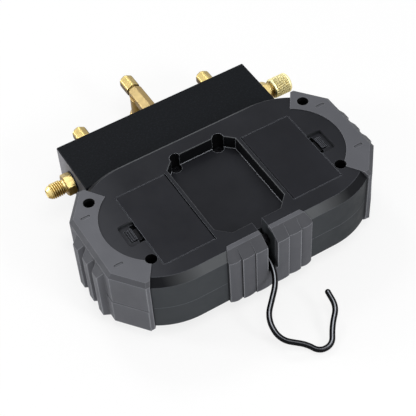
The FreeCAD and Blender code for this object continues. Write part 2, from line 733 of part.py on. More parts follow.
add(front, dots(keypad_posts, as_size(1.4)), panel_back - 0.5, keypad_face)
cut(front, [rectangle(-slot_half, slot_half, -half - 5, -pocket_near + 0.5)],
    -slot_depth, -part_line + 1)
cut(front, dots(screw_places, screw_shank + 0.05), as_size(-40), -part_line + 1)
cut(front, dots(posts, as_size(1.25)), board_face - 8, board_face + 1)
cut(front, [rounded(-window_half, window_half, -window_near, window_far, as_size(1.5))] +
    [rounded(x - key_long / 2 - key_gap, x + key_long / 2 + key_gap, key_y - key_wide / 2 - key_gap,
             key_y + key_wide / 2 + key_gap, as_size(2)) for x in keys_x],
    -depth - 1, panel_back + 1)
cut(front, dots(sensor_spots, sensor_hole) + dots(bolt_front, bolt_shank + 0.2), *far_wall)
finish(front, "front_cover")

# Rubber guards
def flare_edge(edge):
    """Picks the top outer edges of the guards' flared lower part."""
    outside = abs(edge.CenterOfMass.x) + 0.01 > 60 and level(-part_line)(edge)
    y = edge.CenterOfMass.y - guard_mid.value
    x = abs(edge.CenterOfMass.x)
    if not outside or edge.Curve.TypeId != "Part::GeomLine":
        return False
    end_x = (guard_end + guard_flare).value
    if abs(x - end_x) < 0.01:
        return True
    half_corner = math.radians(guard_slope.value)
    away = (x - end_x) * math.cos(half_corner) + \
        (abs(y) - (guard_end_half + corner_shift(guard_slope, guard_flare)).value) * \
        math.sin(half_corner)
    return abs(away) < 0.01 and edge.Length > 10


for name, side in sides:
    guard = new_body("end_guard_" + name)
    reach = guard_side - tip_half
    add(guard, [outline([tip_point(side, zero, True), tip_point(side, reach, True)] +
                        guard_octagon(side, zero) +
                        [tip_point(side, reach, False), tip_point(side, zero, False)],
                        {7: (arc_x * side, guard_mid, side < 0)})],
        -edge_depth - guard_foot, guard_proud)
    rim = guard_side.value - 0.01

    def outer_edge(edge, low=False):
        box = edge.BoundBox
        height = (-edge_depth - guard_foot).value if low else guard_proud.value
        if abs(box.ZMin - height) > 0.01 or abs(box.ZMax - height) > 0.01:
            return False
        if edge.Curve.TypeId != "Part::GeomLine":
            return False
        middle = edge.CenterOfMass
        out_y = abs(middle.y - guard_mid.value)
        return out_y > rim or abs(middle.x) > 85
    dress(guard, "Chamfer", guard_chamfer, outer_edge)
    dress(guard, "Chamfer", as_size(1.2), lambda edge: outer_edge(edge, True))
    foot = -edge_depth - guard_foot
    flare = guard_octagon(side, -guard_flare) + list(reversed(guard_octagon(side, as_size(1))))
    add(guard, [outline(flare)], foot + 1.2, -part_line)
    dress(guard, "Chamfer", guard_flare - 0.02, flare_edge)
    cut(guard, [outline(guard_octagon(side, guard_wall, as_size(40)))],
        -edge_depth + 2, -guard_skin)
    ribs = []
    for i in (-1, 0, 1):
        middle = rib_mid + rib_pitch * i
        ribs.append(outline([((guard_end - 1) * side, middle - rib_half),
                             (guard_end * side, middle - rib_half),
                             ((guard_end + rib_proud) * side, middle - rib_flat),
                             ((guard_end + rib_proud) * side, middle + rib_flat),
                             (guard_end * side, middle + rib_half),
                             ((guard_end - 1) * side, middle + rib_half)]))
    add(guard, ribs, foot, -rib_top)
    beyond = guard_end + rib_proud + 1
    cut(guard, [outline([((guard_end + 0.05) * side, -rib_top + 0.5),
                         ((guard_end + 0.05) * side, -rib_top - 0.05),
                         (beyond * side, -rib_top - 0.05 - (beyond - guard_end - 0.05)),
                         (beyond * side, -rib_top + 0.5)])],
        -rib_mid - rib_pitch - rib_half - 1, -rib_mid + rib_pitch + rib_half + 1, "XZ_Plane")
    wells = [(x, y) for x, y in screw_places if x.value * side > 50]
    cut(guard, dots(wells, screw_well + 0.05), -guard_skin - 0.5, 1)
    half_mark = mark_long / 2
    marks = [rounded(mark_x * side - half_mark, mark_x * side + half_mark, y - mark_wide / 2,
                     y + mark_wide / 2, mark_wide * 0.45)
             for y in (guard_mid - mark_y, guard_mid + mark_y)]
    cut(guard, marks, guard_proud - 0.45, 1)
    finish(guard, "end_guard_" + name)

mid_guard = new_body("hook_guard")
outer_y = -half - mid_guard_thick
add(mid_guard, [outline([
    (-mid_guard_edge, guard_proud - 0.2), (-half + bevel - 0.4, guard_proud - 0.2),
    (outer_y, -bevel - 0.6), (outer_y, -edge_depth + 0.6), (-half, -edge_depth + 0.6),
    (-half, -bevel), (-half + bevel - guard_skin, -guard_skin), (-mid_guard_edge, -guard_skin)])],
    -mid_guard_half, mid_guard_half, "YZ_Plane")


def wave_section(rise):
    """Section of a grip wave that stands on the guard's wall and fades up its slope."""
    shoulder = -bevel - 0.6
    foot = -edge_depth + 1.0 - rise * 0.3
    return outline([(-half + bevel - 0.6, guard_proud - 0.4), (outer_y - rise, shoulder),
                    (outer_y - rise, foot), (outer_y + 0.5, foot), (outer_y + 0.5, shoulder + 0.1)])


waves = [(zero, wave_inner_x, wave_inner, wave_inner - wave_fall, wave_inner - wave_fall / 2),
         (wave_inner_x, wave_outer_x, wave_middle, wave_middle - wave_fall, wave_middle - 0.3),
         (wave_outer_x, mid_guard_half, wave_outer, wave_outer - wave_fall, as_size(0.1))]
for side in (-1, 1):
    for start, stop, rise, first, last in waves:
        add_loft(mid_guard, [(wave_section(first), start * side),
                             (wave_section(rise), (start + stop) / 2 * side),
                             (wave_section(last), stop * side)], "YZ_Plane")
for side in (-1, 1):
    cut(mid_guard, [outline([
        (mid_guard_top * side, -mid_guard_edge), (mid_guard_half * side, -half),
        ((mid_guard_half + 5) * side, -half), ((mid_guard_half + 5) * side, -mid_guard_edge)])],
        -half, 1)
cut(mid_guard, [rectangle(-slot_half, slot_half, outer_y - 5, -mid_guard_edge + 5)],
    -slot_depth, 1)
finish(mid_guard, "hook_guard")

# Hook: a pin across the slot, a barrel that turns on it, and the bent wire
pin = new_body("hook_pin")
add(pin, [circle_at(pivot_y, pivot_z, pin_radius)], -channel + 0.6, channel - 0.6, "YZ_Plane")
finish(pin, "hook_pin")

hook_turn = Rotation(Vector(1, 0, 0), hook_angle.value)
barrel = new_body("hook_barrel")
add(barrel, [circle_at(0, 0, barrel_radius)], -slot_half + 0.5, slot_half - 0.5, "YZ_Plane")
add(barrel, [circle_at(0, 0, as_size(2.6))], as_size(-5), as_size(-1.5))
cut(barrel, [circle_at(0, 0, pin_radius + run_gap)], as_size(-5), as_size(5), "YZ_Plane")
cut(barrel, [circle_at(0, 0, wire_radius)], as_size(-6), as_size(-1.9))
finish(barrel, "hook_barrel", zero, pivot_y, pivot_z, hook_turn)
barrel.setExpression(".Placement.Rotation.Angle", "sizes.hook_angle * 1 deg")


def bent_wire(corners, radius):
    """Round wire through the corners, with the largest bends that fit."""
    edges = []
    last = corners[0]
    for i in range(1, len(corners) - 1):
        before = corners[i] - corners[i - 1]
        after = corners[i + 1] - corners[i]
        turn_angle = before.getAngle(after)
        trim = 0.46 * min(before.Length, after.Length)
        if i == 1:
            trim = 3.0
        start = corners[i] - Vector(before).normalize() * trim
        stop = corners[i] + Vector(after).normalize() * trim
        bend = trim / math.tan(turn_angle / 2)
        inward = (Vector(after).normalize() - Vector(before).normalize()).normalize()
        middle = corners[i] + inward * (math.hypot(bend, trim) - bend)
        edges.append(Part.LineSegment(last, start).toShape())
        edges.append(Part.Arc(start, middle, stop).toShape())
        last = stop
    edges.append(Part.LineSegment(last, corners[-1]).toShape())
    path = Part.Wire(edges)
    first = corners[1] - corners[0]
    ring = Part.Wire([Part.makeCircle(radius, corners[0], first)])
    solid = path.makePipeShell([ring], True, False)
    ball = Part.makeSphere(radius, corners[-1])
    return solid.fuse(ball).removeSplitter()


low = -hook_rise.value
reach = hook_reach.value
wire_points = [
    Vector(0, 0, -1.9), Vector(0, 0, low), Vector(0, -23.5, low),
    Vector(-lobe_left.value, -44.5, low), Vector(-lobe_left.value, -60.0, low),
    Vector(-6.2, -70.5, low), Vector(-0.8, -reach, low), Vector(8.7, -reach, low),
    Vector(15.0, -67.8, low), Vector(lobe_right.value, -58.6, low),
    Vector(lobe_right.value, -47.8, low)]
hook_wire = doc.addObject("Part::Feature", "hook_wire_shape")
hook_wire.Shape = bent_wire(wire_points, wire_radius.value)
finish(hook_wire, "hook_wire", zero, pivot_y, pivot_z, hook_turn)

# Battery doors, cells and contacts
def nose_corner(side, top):
    """Region that rounds a door's hinge edge, above or below the hinge's axis."""
    rise = door_thick / 2 * top
    away = (door_in - 1) * side
    edge_x = (door_in + door_gap) * side
    return outline([(away, hinge_z), (edge_x, hinge_z), (hinge_x * side, hinge_z + rise),
                    (hinge_x * side, hinge_z + rise * 2), (away, hinge_z + rise * 2)],
                   {1: (hinge_x * side, hinge_z, side * top < 0)})


for name, side in sides:
    def across(x0, x1, *others, mirror=side, make=rectangle):
        x0, x1 = as_size(x0), as_size(x1)
        if mirror < 0:
            x0, x1 = -x1, -x0
        return make(x0, x1, *others)
    door = new_body("battery_door_" + name)
    add(door, [across(door_in + door_gap, door_out - door_gap, -door_near + door_gap,
                      door_far - door_gap, door_round - door_gap, make=rounded)],
        -door_thick, zero)
    cut(door, [nose_corner(side, top) for top in (-1, 1)], -door_far, door_near, "XZ_Plane")
    add(door, [circle_at(hinge_x * side, hinge_z, hinge_pin)], -door_far - hinge_long + 0.5,
        door_near + hinge_long - 0.5, "XZ_Plane")
    start, stop = latch_mid - tongue_long / 2, latch_mid + tongue_long / 2
    leg = door_out - door_gap
    grip = door_out + latch_slot
    add(door, [across(leg - 1.2, leg, start, stop)], -tongue_deep, -door_thick + 0.5)
    add(door, [across(leg - 1.2, grip + 1.2, start, stop)], -tongue_deep, -tongue_deep + 1.1)
    add(door, [across(grip, grip + tongue_wide, start, stop)], -tongue_deep, as_size(-1.9))
    for i in range(3):
        step = tongue_wide / 3
        add(door, [across(grip, grip + tongue_wide - step * i - 0.35, start, stop)],
            as_size(-2.0 + 0.4 * i), as_size(-1.55 + 0.4 * i))
    finish(door, "battery_door_" + name)

cell_z = -bay_depth + cell_radius + 0.2
bay_mid = door_in + door_wide / 2
cell = Part.makeCylinder(cell_radius.value, cell_long.value)
cell = cell.fuse(Part.makeCylinder(2.7, cell_long.value + 1.1))
cell_mid = (door_far - door_near) / 2
first_y = cell_mid - (cell_long + 1.1) / 2
last_y = cell_mid + (cell_long + 1.1) / 2
forward = Rotation(Vector(0, 0, 1), Vector(0, 1, 0))
backward = Rotation(Vector(0, 0, 1), Vector(0, -1, 0))
spring = Part.makeCone(4.6, 3.4, 3.9).cut(Part.makeCone(3.6, 2.4, 3.9))
plate = Part.makeBox(12, 12, 0.5, Vector(-6, -6, 0))
dome = plate.fuse(Part.makeCone(3.4, 2.2, 4.2))
spring_spots = []
dome_spots = []
for name, side in sides:
    inner_x = (bay_mid - 7.4) * side
    outer_x = (bay_mid + 7.4) * side
    group("aa_cells_" + name, copies(cell, [(inner_x, first_y, cell_z, forward),
                                            (outer_x, last_y, cell_z, backward)]))
    near_wall = -door_near + bay_step
    far_end = door_far - bay_step
    spring_spots += [(inner_x, near_wall + 0.5, cell_z, forward),
                     (outer_x, far_end - 0.5, cell_z, backward)]
    dome_spots += [(inner_x, far_end, cell_z, backward), (outer_x, near_wall, cell_z, forward)]
group("battery_springs", copies(spring.fuse(Part.makeBox(12, 12, 0.5, Vector(-6, -6, -0.5))),
                                spring_spots))
group("battery_plates", copies(dome, dome_spots))

# Fasteners of the case
case_screw = Part.makeCylinder(screw_head.value, 2.4)
case_screw = case_screw.fuse(Part.makeCylinder(screw_shank.value, 24, Vector(0, 0, -24)))
case_screw = case_screw.cut(Part.makeCylinder(1.2, 1.6, Vector(0, 0, 0.9)))
group("case_screws", copies(case_screw, [(x, y, -well_depth, None) for x, y in screw_places]))

# Electronics and display
board = new_body("main_board")
add(board, [outline([
    (-board_half, -board_wide + board_corner), (-board_half + board_corner, -board_wide),
    (board_half - board_corner, -board_wide), (board_half, -board_wide + board_corner),
    (board_half, board_wide - board_corner), (board_half - board_corner, board_wide),
    (-board_half + board_corner, board_wide), (-board_half, board_wide - board_corner)])] +
    dots(posts, as_size(1.4)), board_face, -board_high)
finish(board, "main_board")
board_screw = Part.makeCylinder(2.4, 1.5)
board_screw = board_screw.fuse(Part.makeCylinder(1.2, 8, Vector(0, 0, -8)))
group("board_screws", copies(board_screw, [(x, y, -board_high, None) for x, y in posts]))
chip = Part.makeBox(12, 12, 1.4, Vector(-6, -6, 0))
relay = Part.makeBox(18, 8, 4.5, Vector(-9, -4, 0))
plug = Part.makeBox(10, 5, 5, Vector(-5, -2.5, 0))
group("board_parts", copies(chip, [(12, -6, -board_high, None), (-14, 6, -board_high, None)]) +
      copies(relay, [(-38, -10, -board_high, None)]) +
      copies(plug, [(sensor_x * i, 0, -board_high, None) for i in (-1, 1)]))
display = new_body("display_module")
add(display, [rectangle(-window_half - 3, window_half + 3, -window_near - 3, window_far + 3)],
    panel_back, panel_back + 6.5)
finish(display, "display_module")
lens = new_body("display_window")
add(lens, [rounded(-window_half - lens_lap, window_half + lens_lap, -window_near - lens_lap,
                   window_far + lens_lap, as_size(2.5))], panel_face - lens_thick, panel_face)
finish(lens, "display_window")
keypad = new_body("keypad_board")
add(keypad, [rectangle(-57, 57, key_y - 6.5, key_y + 6.5)], keypad_face, -keypad_back)
finish(keypad, "keypad_board")
key_base = panel_back + 0.3 + 0.8
switch_tip = key_base + key_travel + 0.3
button = Part.makeBox(6, 6, 2.8, Vector(-3, -3, -2.8))
switch_long = (keypad_face - switch_tip).value
button = button.fuse(Part.makeCylinder(1.5, switch_long, Vector(0, 0, -switch_long)))
group("key_switches", copies(button, [(x, key_y, keypad_face, None) for x in keys_x]))
for i, x in enumerate(keys_x):
    key = new_body("key_%d" % (i + 1))
    long = key_long / 2
    wide = key_wide / 2
    add(key, [rounded(-long, long, -wide, wide, as_size(1.7))], panel_face - key_proud,
        key_base)
    add(key, [rectangle(-long - key_flange, long + key_flange, -wide - key_flange,
                        wide + key_flange)], panel_back + 0.3, key_base)
    finish(key, "key_%d" % (i + 1), x, key_y)

# Manifold block and what joins it to the case
block = new_body("manifold_block")
add(block, [rectangle(-block_half, block_half, block_near, block_far)], block_front, -block_top)
dress(block, "Chamfer", block_edge, lambda edge: True)
port_hole = port_shank + 0.05
for low, high in ((-block_half - 1, -block_half + 10), (block_half - 10, block_half + 1)):
    cut(block, [circle_at(block_mid_y, block_mid_z, port_hole)], low, high, "YZ_Plane")
cut(block, [circle_at(block_mid_y, block_mid_z, gallery)], -block_half + 9, block_half - 9,
    "YZ_Plane")
far_spots = [(-far_port_x, block_mid_z), (centre_x, block_mid_z), (far_port_x, block_mid_z)]
cut(block, dots(far_spots, port_hole), -block_far - 1, -block_far + 10, "XZ_Plane")
cut(block, dots(far_spots, gallery), -block_far + 9, -block_mid_y, "XZ_Plane")
cut(block, dots(sensor_spots, port_hole) + dots(bolt_rear + bolt_front, bolt_shank + 0.05),
    -block_near - 10, -block_near + 1, "XZ_Plane")
cut(block, dots(sensor_spots, as_size(1.5)), -block_mid_y, -block_near - 9, "XZ_Plane")
valve_spots = [(valve_x * side, block_mid_y) for side in (-1, 1)]
cut(block, dots(valve_spots, bonnet_radius + 0.05), block_front - 1, block_front + bonnet_deep)
cut(block, dots(valve_spots, as_size(5)), block_front - 1, block_front + valve_deep)
cut(block, [circle_at(0, block_mid_y, as_size(9.05))], block_front - 1, block_front + 6)
cut(block, [circle_at(0, block_mid_y, as_size(3))], block_front + 5, block_mid_z)
finish(block, "manifold_block")
gasket = new_body("manifold_gasket")
add(gasket, [rectangle(-50, 50, block_front + 1, -block_top - 1)] +
    dots(sensor_spots, sensor_hole) + dots(bolt_rear + bolt_front, bolt_shank + 0.2),
    -block_near, -half, "XZ_Plane")
finish(gasket, "manifold_gasket")
bolt = Part.makeCylinder(bolt_head.value, 3)
bolt = bolt.fuse(Part.makeCylinder(bolt_shank.value, 12.5, Vector(0, 0, -12.5)))
bolt = bolt.cut(Part.makeCylinder(1.6, 2, Vector(0, 0, 1.2)))
group("manifold_screws", copies(bolt, [(x, half - wall, z, backward)
                                       for x, z in bolt_rear + bolt_front]))

# Fittings, drawn with their axis along Z and their outer end up
leftward = Rotation(Vector(0, 0, 1), Vector(-1, 0, 0))
rightward = Rotation(Vector(0, 0, 1), Vector(1, 0, 0))
downward = Rotation(Vector(1, 0, 0), 180)


def hex_bar(body, flats, bore, low, high, turned=0):
    """Hexagonal length with its corners turned down at the outer end."""
    add(body, [hexagon(flats, turned), circle_at(0, 0, bore)], low, high)
    half_flats = flats / 2
    turn_off(body, [(half_flats, as_size(high) + 0.1), (half_flats * 1.25, as_size(high) + 0.1),
                    (half_flats * 1.25, as_size(high) - half_flats * 0.14)])


def flare_fitting(name, hex_size, neck, thread, x, y, rotation, flats=hex_flats, turned=0):
    body = new_body(name)
    shoulder = washer_thick + hex_size
    thread_from = shoulder + neck
    cone_from = thread_from + thread
    tip = cone_from + flare_long
    turn(body, [(port_bore, -shank_long), (port_shank - 0.6, -shank_long),
                (port_shank, -shank_long + 0.6), (port_shank, washer_thick),
                (neck_radius + 0.2, washer_thick), (neck_radius, thread_from),
                (port_thread - 0.5, thread_from), (port_thread, thread_from + 0.5),
                (port_thread, cone_from), (port_thread - 0.4, cone_from + 0.2),
                (flare_tip, tip), (port_bore, tip)])
    hex_bar(body, flats, port_bore, washer_thick, shoulder, turned)
    finish(body, name, x, y, block_mid_z, rotation)
    return body


flare_fitting("low_side_port", hex_long, neck_long, thread_long, -block_half, block_mid_y,
              leftward)
flare_fitting("high_side_port", hex_long, neck_long, thread_long, block_half, block_mid_y,
              rightward)
flare_fitting("far_port_left", hex_long - 0.9, neck_long, thread_long, -far_port_x, block_far,
              forward)
flare_fitting("far_port_right", hex_long - 0.9, neck_long, thread_long, far_port_x, block_far,
              forward)
centre = flare_fitting("centre_port", stem_long, stem_neck, stem_thread, centre_x, block_far,
                       forward, stem_flats, 30)
hex_bar(centre, hex_flats, port_bore, washer_thick, washer_thick + hex_long - 1.4)
neck_end = tee_drop + 1.3
branch_end = neck_end + 8.2
spot = (zero, tee_from)
add(centre, [circle_at(*spot, tee_radius)], -tee_drop, zero, "XZ_Plane")
add(centre, [circle_at(*spot, tee_radius - 0.3)], -neck_end, -tee_drop + 1, "XZ_Plane")
add(centre, [circle_at(*spot, tee_thread)], -branch_end, -neck_end, "XZ_Plane")
add(centre, [circle_at(*spot, as_size(6.2))], -branch_end - 2.4, -branch_end + 1, "XZ_Plane")
dress(centre, "Chamfer", as_size(1.2),
      lambda edge: abs(edge.BoundBox.YMin - (branch_end + 2.4).value) < 0.01)
cut(centre, [circle_at(*spot, as_size(4.0))], -branch_end - 3, zero, "XZ_Plane")
cut(centre, [circle_at(0, 0, port_bore)], -shank_long - 1, as_size(50))
washer = Part.makeCylinder(8.0, washer_thick.value).cut(
    Part.makeCylinder((port_shank + 0.05).value, washer_thick.value))
group("port_washers", copies(washer, [
    (-block_half, block_mid_y, block_mid_z, leftward),
    (block_half, block_mid_y, block_mid_z, rightward)] + [
    (x, block_far, block_mid_z, forward) for x, _ in far_spots]))

cap = new_body("port_cap")
cap_bore = port_thread + run_gap
turn(cap, [(cap_bore, 0), (cap_radius - 0.8, 0), (cap_radius, 0.9), (cap_radius, cap_long - 1),
           (cap_radius - 0.9, cap_long), (0, cap_long), (0, cap_long - cap_top),
           (cap_bore, cap_long - cap_top)])
finish(cap, "port_cap", block_half + cap_from, block_mid_y, block_mid_z, rightward)
seal = new_body("cap_seal")
turn(seal, [(0, cap_long - cap_top - 2.2), (cap_bore - 0.25, cap_long - cap_top - 2.2),
            (cap_bore - 0.25, cap_long - cap_top - 0.1), (0, cap_long - cap_top - 0.1)])
finish(seal, "cap_seal", block_half + cap_from, block_mid_y, block_mid_z, rightward)

# Hand valves on the display side
for name, side in sides:
    prefix = "low_" if side < 0 else "high_"
    where = (valve_x * side, block_mid_y, block_front, downward)
    piston = new_body(prefix + "valve_piston")
    turn(piston, [(0, -valve_deep + 0.4), (3.2, -valve_deep + 0.4), (4.9, -valve_deep + 2),
                  (4.9, -bonnet_deep - 2.4), (valve_stem + run_gap, -bonnet_deep - 2.4),
                  (valve_stem + run_gap, -bonnet_deep - 5), (0, -bonnet_deep - 5)])
    finish(piston, prefix + "valve_piston", *where)
    bonnet = new_body(prefix + "valve_bonnet")
    turn(bonnet, [(valve_stem + run_gap, -bonnet_deep), (bonnet_radius - 0.5, -bonnet_deep),
                  (bonnet_radius, -bonnet_deep + 0.5), (bonnet_radius, 0),
                  (bonnet_radius + 0.5, 0), (bonnet_radius + 0.5, bonnet_high - 0.4),
                  (valve_stem + run_gap, bonnet_high)])
    hex_bar(bonnet, as_size(17), valve_stem + run_gap, zero, bonnet_high - 0.4)
    finish(bonnet, prefix + "valve_bonnet", *where)
    knob_end = knob_from + knob_thick
    stem = new_body(prefix + "valve_stem")
    turn(stem, [(0, -bonnet_deep - 4.9), (valve_stem - 0.4, -bonnet_deep - 4.9),
                (valve_stem, -bonnet_deep - 4.5), (valve_stem, knob_end - 3.1), (1.55, knob_end - 3.1),
                (1.55, knob_end - 9), (0, knob_end - 9)])
    finish(stem, prefix + "valve_stem", *where)
    wheel = new_body(prefix + "handwheel")
    turn(wheel, [(valve_stem + 0.02, knob_from), (7.5, knob_from), (9, knob_from + 2),
                 (knob_radius - 1.2, knob_from + 2), (knob_radius, knob_from + 3.2),
                 (knob_radius, knob_end - 1.4), (knob_radius - 1.4, knob_end),
                 (knob_radius - 5.6, knob_end), (knob_radius - 6.6, knob_end - 1.2),
                 (4.6, knob_end - 1.2), (4.6, knob_end - 0.4), (3.6, knob_end - 0.4),
                 (3.6, knob_end - 2), (1.6, knob_end - 2), (1.6, knob_end - 3),
                 (valve_stem + 0.02, knob_end - 3)])
    flutes = []
    for i in range(knob_lobes):
        angle = math.radians(360 / knob_lobes * (i + 0.5))
        flutes.append(circle_at((knob_radius + 2.2) * round(math.cos(angle), 9),
                                (knob_radius + 2.2) * round(math.sin(angle), 9), as_size(4.2)))
    cut(wheel, flutes, knob_from, knob_end + 1)
    finish(wheel, prefix + "handwheel", *where)
    screw = new_body(prefix + "handwheel_screw")
    turn(screw, [(0, knob_end - 8.5), (1.5, knob_end - 8.5), (1.5, knob_end - 2),
                 (3.2, knob_end - 2), (3.2, knob_end - 0.8), (2.4, knob_end - 0.4),
                 (0, knob_end - 0.4)])
    cut(screw, [rectangle(-0.5, 0.5, -2.2, 2.2), ], knob_end - 1.3, knob_end)
    finish(screw, prefix + "handwheel_screw", *where)
    sensor = new_body(prefix + "pressure_sensor")
    turn(sensor, [(1.2, -9.8), (port_shank - 0.4, -9.8), (port_shank, -9.4), (port_shank, 0),
                  (5.4, 0), (5.4, 5), (6.0, 5.4), (6.0, 16), (5.4, 16.6), (2.6, 16.6), (2.6, 20.4),
                  (0, 20.4), (0, 4), (1.2, 4)])
    hex_bar(sensor, as_size(11.4), as_size(3), as_size(0.2), as_size(4.8))
    finish(sensor, prefix + "pressure_sensor", sensor_x * side, block_near, block_mid_z, backward)

ring = new_body("sight_glass_ring")
turn(ring, [(7.2, -5.6), (9, -5.6), (9, 0), (11, 0), (11, 1.1), (10.6, 1.5), (6.4, 1.5), (6.4, 0),
            (7.2, 0)])
finish(ring, "sight_glass_ring", zero, block_mid_y, block_front, downward)
glass = new_body("sight_glass")
turn(glass, [(0, -3.4), (7.15, -3.4), (7.15, -0.05), (0, -0.05)])
finish(glass, "sight_glass", zero, block_mid_y, block_front, downward)

for thing in list(nodes.values()):
    if thing.TypeId == "PartDesign::Body":
        thing.Tip.Refine = True
doc.recompute()
bad = [thing.Name for thing in doc.Objects if "Invalid" in thing.State or "Error" in thing.State]
for name, thing in nodes.items():
    if thing.Shape.isNull() or not thing.Shape.isValid():
        bad.append(name)
if bad:
    raise RuntimeError("not valid: " + ", ".join(bad))
os.makedirs("parts", exist_ok=True)
for name, thing in nodes.items():
    thing.Shape.exportStep("parts/%s.step" % name)
print("pieces", len(nodes))
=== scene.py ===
import json
import math

import bmesh
import bpy
from mathutils import Matrix, Vector


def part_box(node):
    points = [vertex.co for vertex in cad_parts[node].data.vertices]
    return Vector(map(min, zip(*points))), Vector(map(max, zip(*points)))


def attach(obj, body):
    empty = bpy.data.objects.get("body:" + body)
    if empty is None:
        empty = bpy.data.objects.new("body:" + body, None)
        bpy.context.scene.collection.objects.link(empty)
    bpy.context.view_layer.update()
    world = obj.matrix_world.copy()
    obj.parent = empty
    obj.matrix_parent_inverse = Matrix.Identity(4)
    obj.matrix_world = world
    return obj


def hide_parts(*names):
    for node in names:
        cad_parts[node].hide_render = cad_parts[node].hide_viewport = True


# Looks of the digital manifold gauge, lying face down. Lengths are in metres, in the part frame:
# X along the long side, Y from the hook to the centre port, Z out of the back of the case.

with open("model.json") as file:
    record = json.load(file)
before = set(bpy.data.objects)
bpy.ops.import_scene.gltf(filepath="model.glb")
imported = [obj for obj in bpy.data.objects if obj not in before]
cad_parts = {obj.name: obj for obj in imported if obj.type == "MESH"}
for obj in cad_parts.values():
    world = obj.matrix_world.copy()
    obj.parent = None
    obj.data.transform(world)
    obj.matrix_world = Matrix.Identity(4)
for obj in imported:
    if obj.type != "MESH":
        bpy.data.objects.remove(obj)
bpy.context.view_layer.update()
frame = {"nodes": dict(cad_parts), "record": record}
nodes = frame["nodes"]

MM = 0.001
UP = (0, 0, 1)


def srgb(red, green, blue):
    """Linear colour from the 0 to 255 values that a picture shows."""
    def linear(value):
        value /= 255
        return value / 12.92 if value <= 0.04045 else ((value + 0.055) / 1.055) ** 2.4
    return (linear(red), linear(green), linear(blue), 1)


# Shader nodes, for materials and for the world
def fill(tree, socket, value):
    """Sets a socket to a number or a colour, or links another node's output to it."""
    if isinstance(value, (int, float, tuple)):
        socket.default_value = value
    else:
        tree.links.new(value, socket)


def math_node(tree, kind, first, second=0.0):
    """One step of arithmetic."""
    node = tree.nodes.new("ShaderNodeMath")
    node.operation = kind
    for socket, value in zip(node.inputs, (first, second)):
        fill(tree, socket, value)
    return node.outputs[0]


def range_node(tree, value, low, high, out_low, out_high):
    """Turns the range from low to high into the range from out_low to out_high."""
    node = tree.nodes.new("ShaderNodeMapRange")
    names = ("Value", "From Min", "From Max", "To Min", "To Max")
    for name, amount in zip(names, (value, low, high, out_low, out_high)):
        fill(tree, node.inputs[name], amount)
    return node.outputs["Result"]


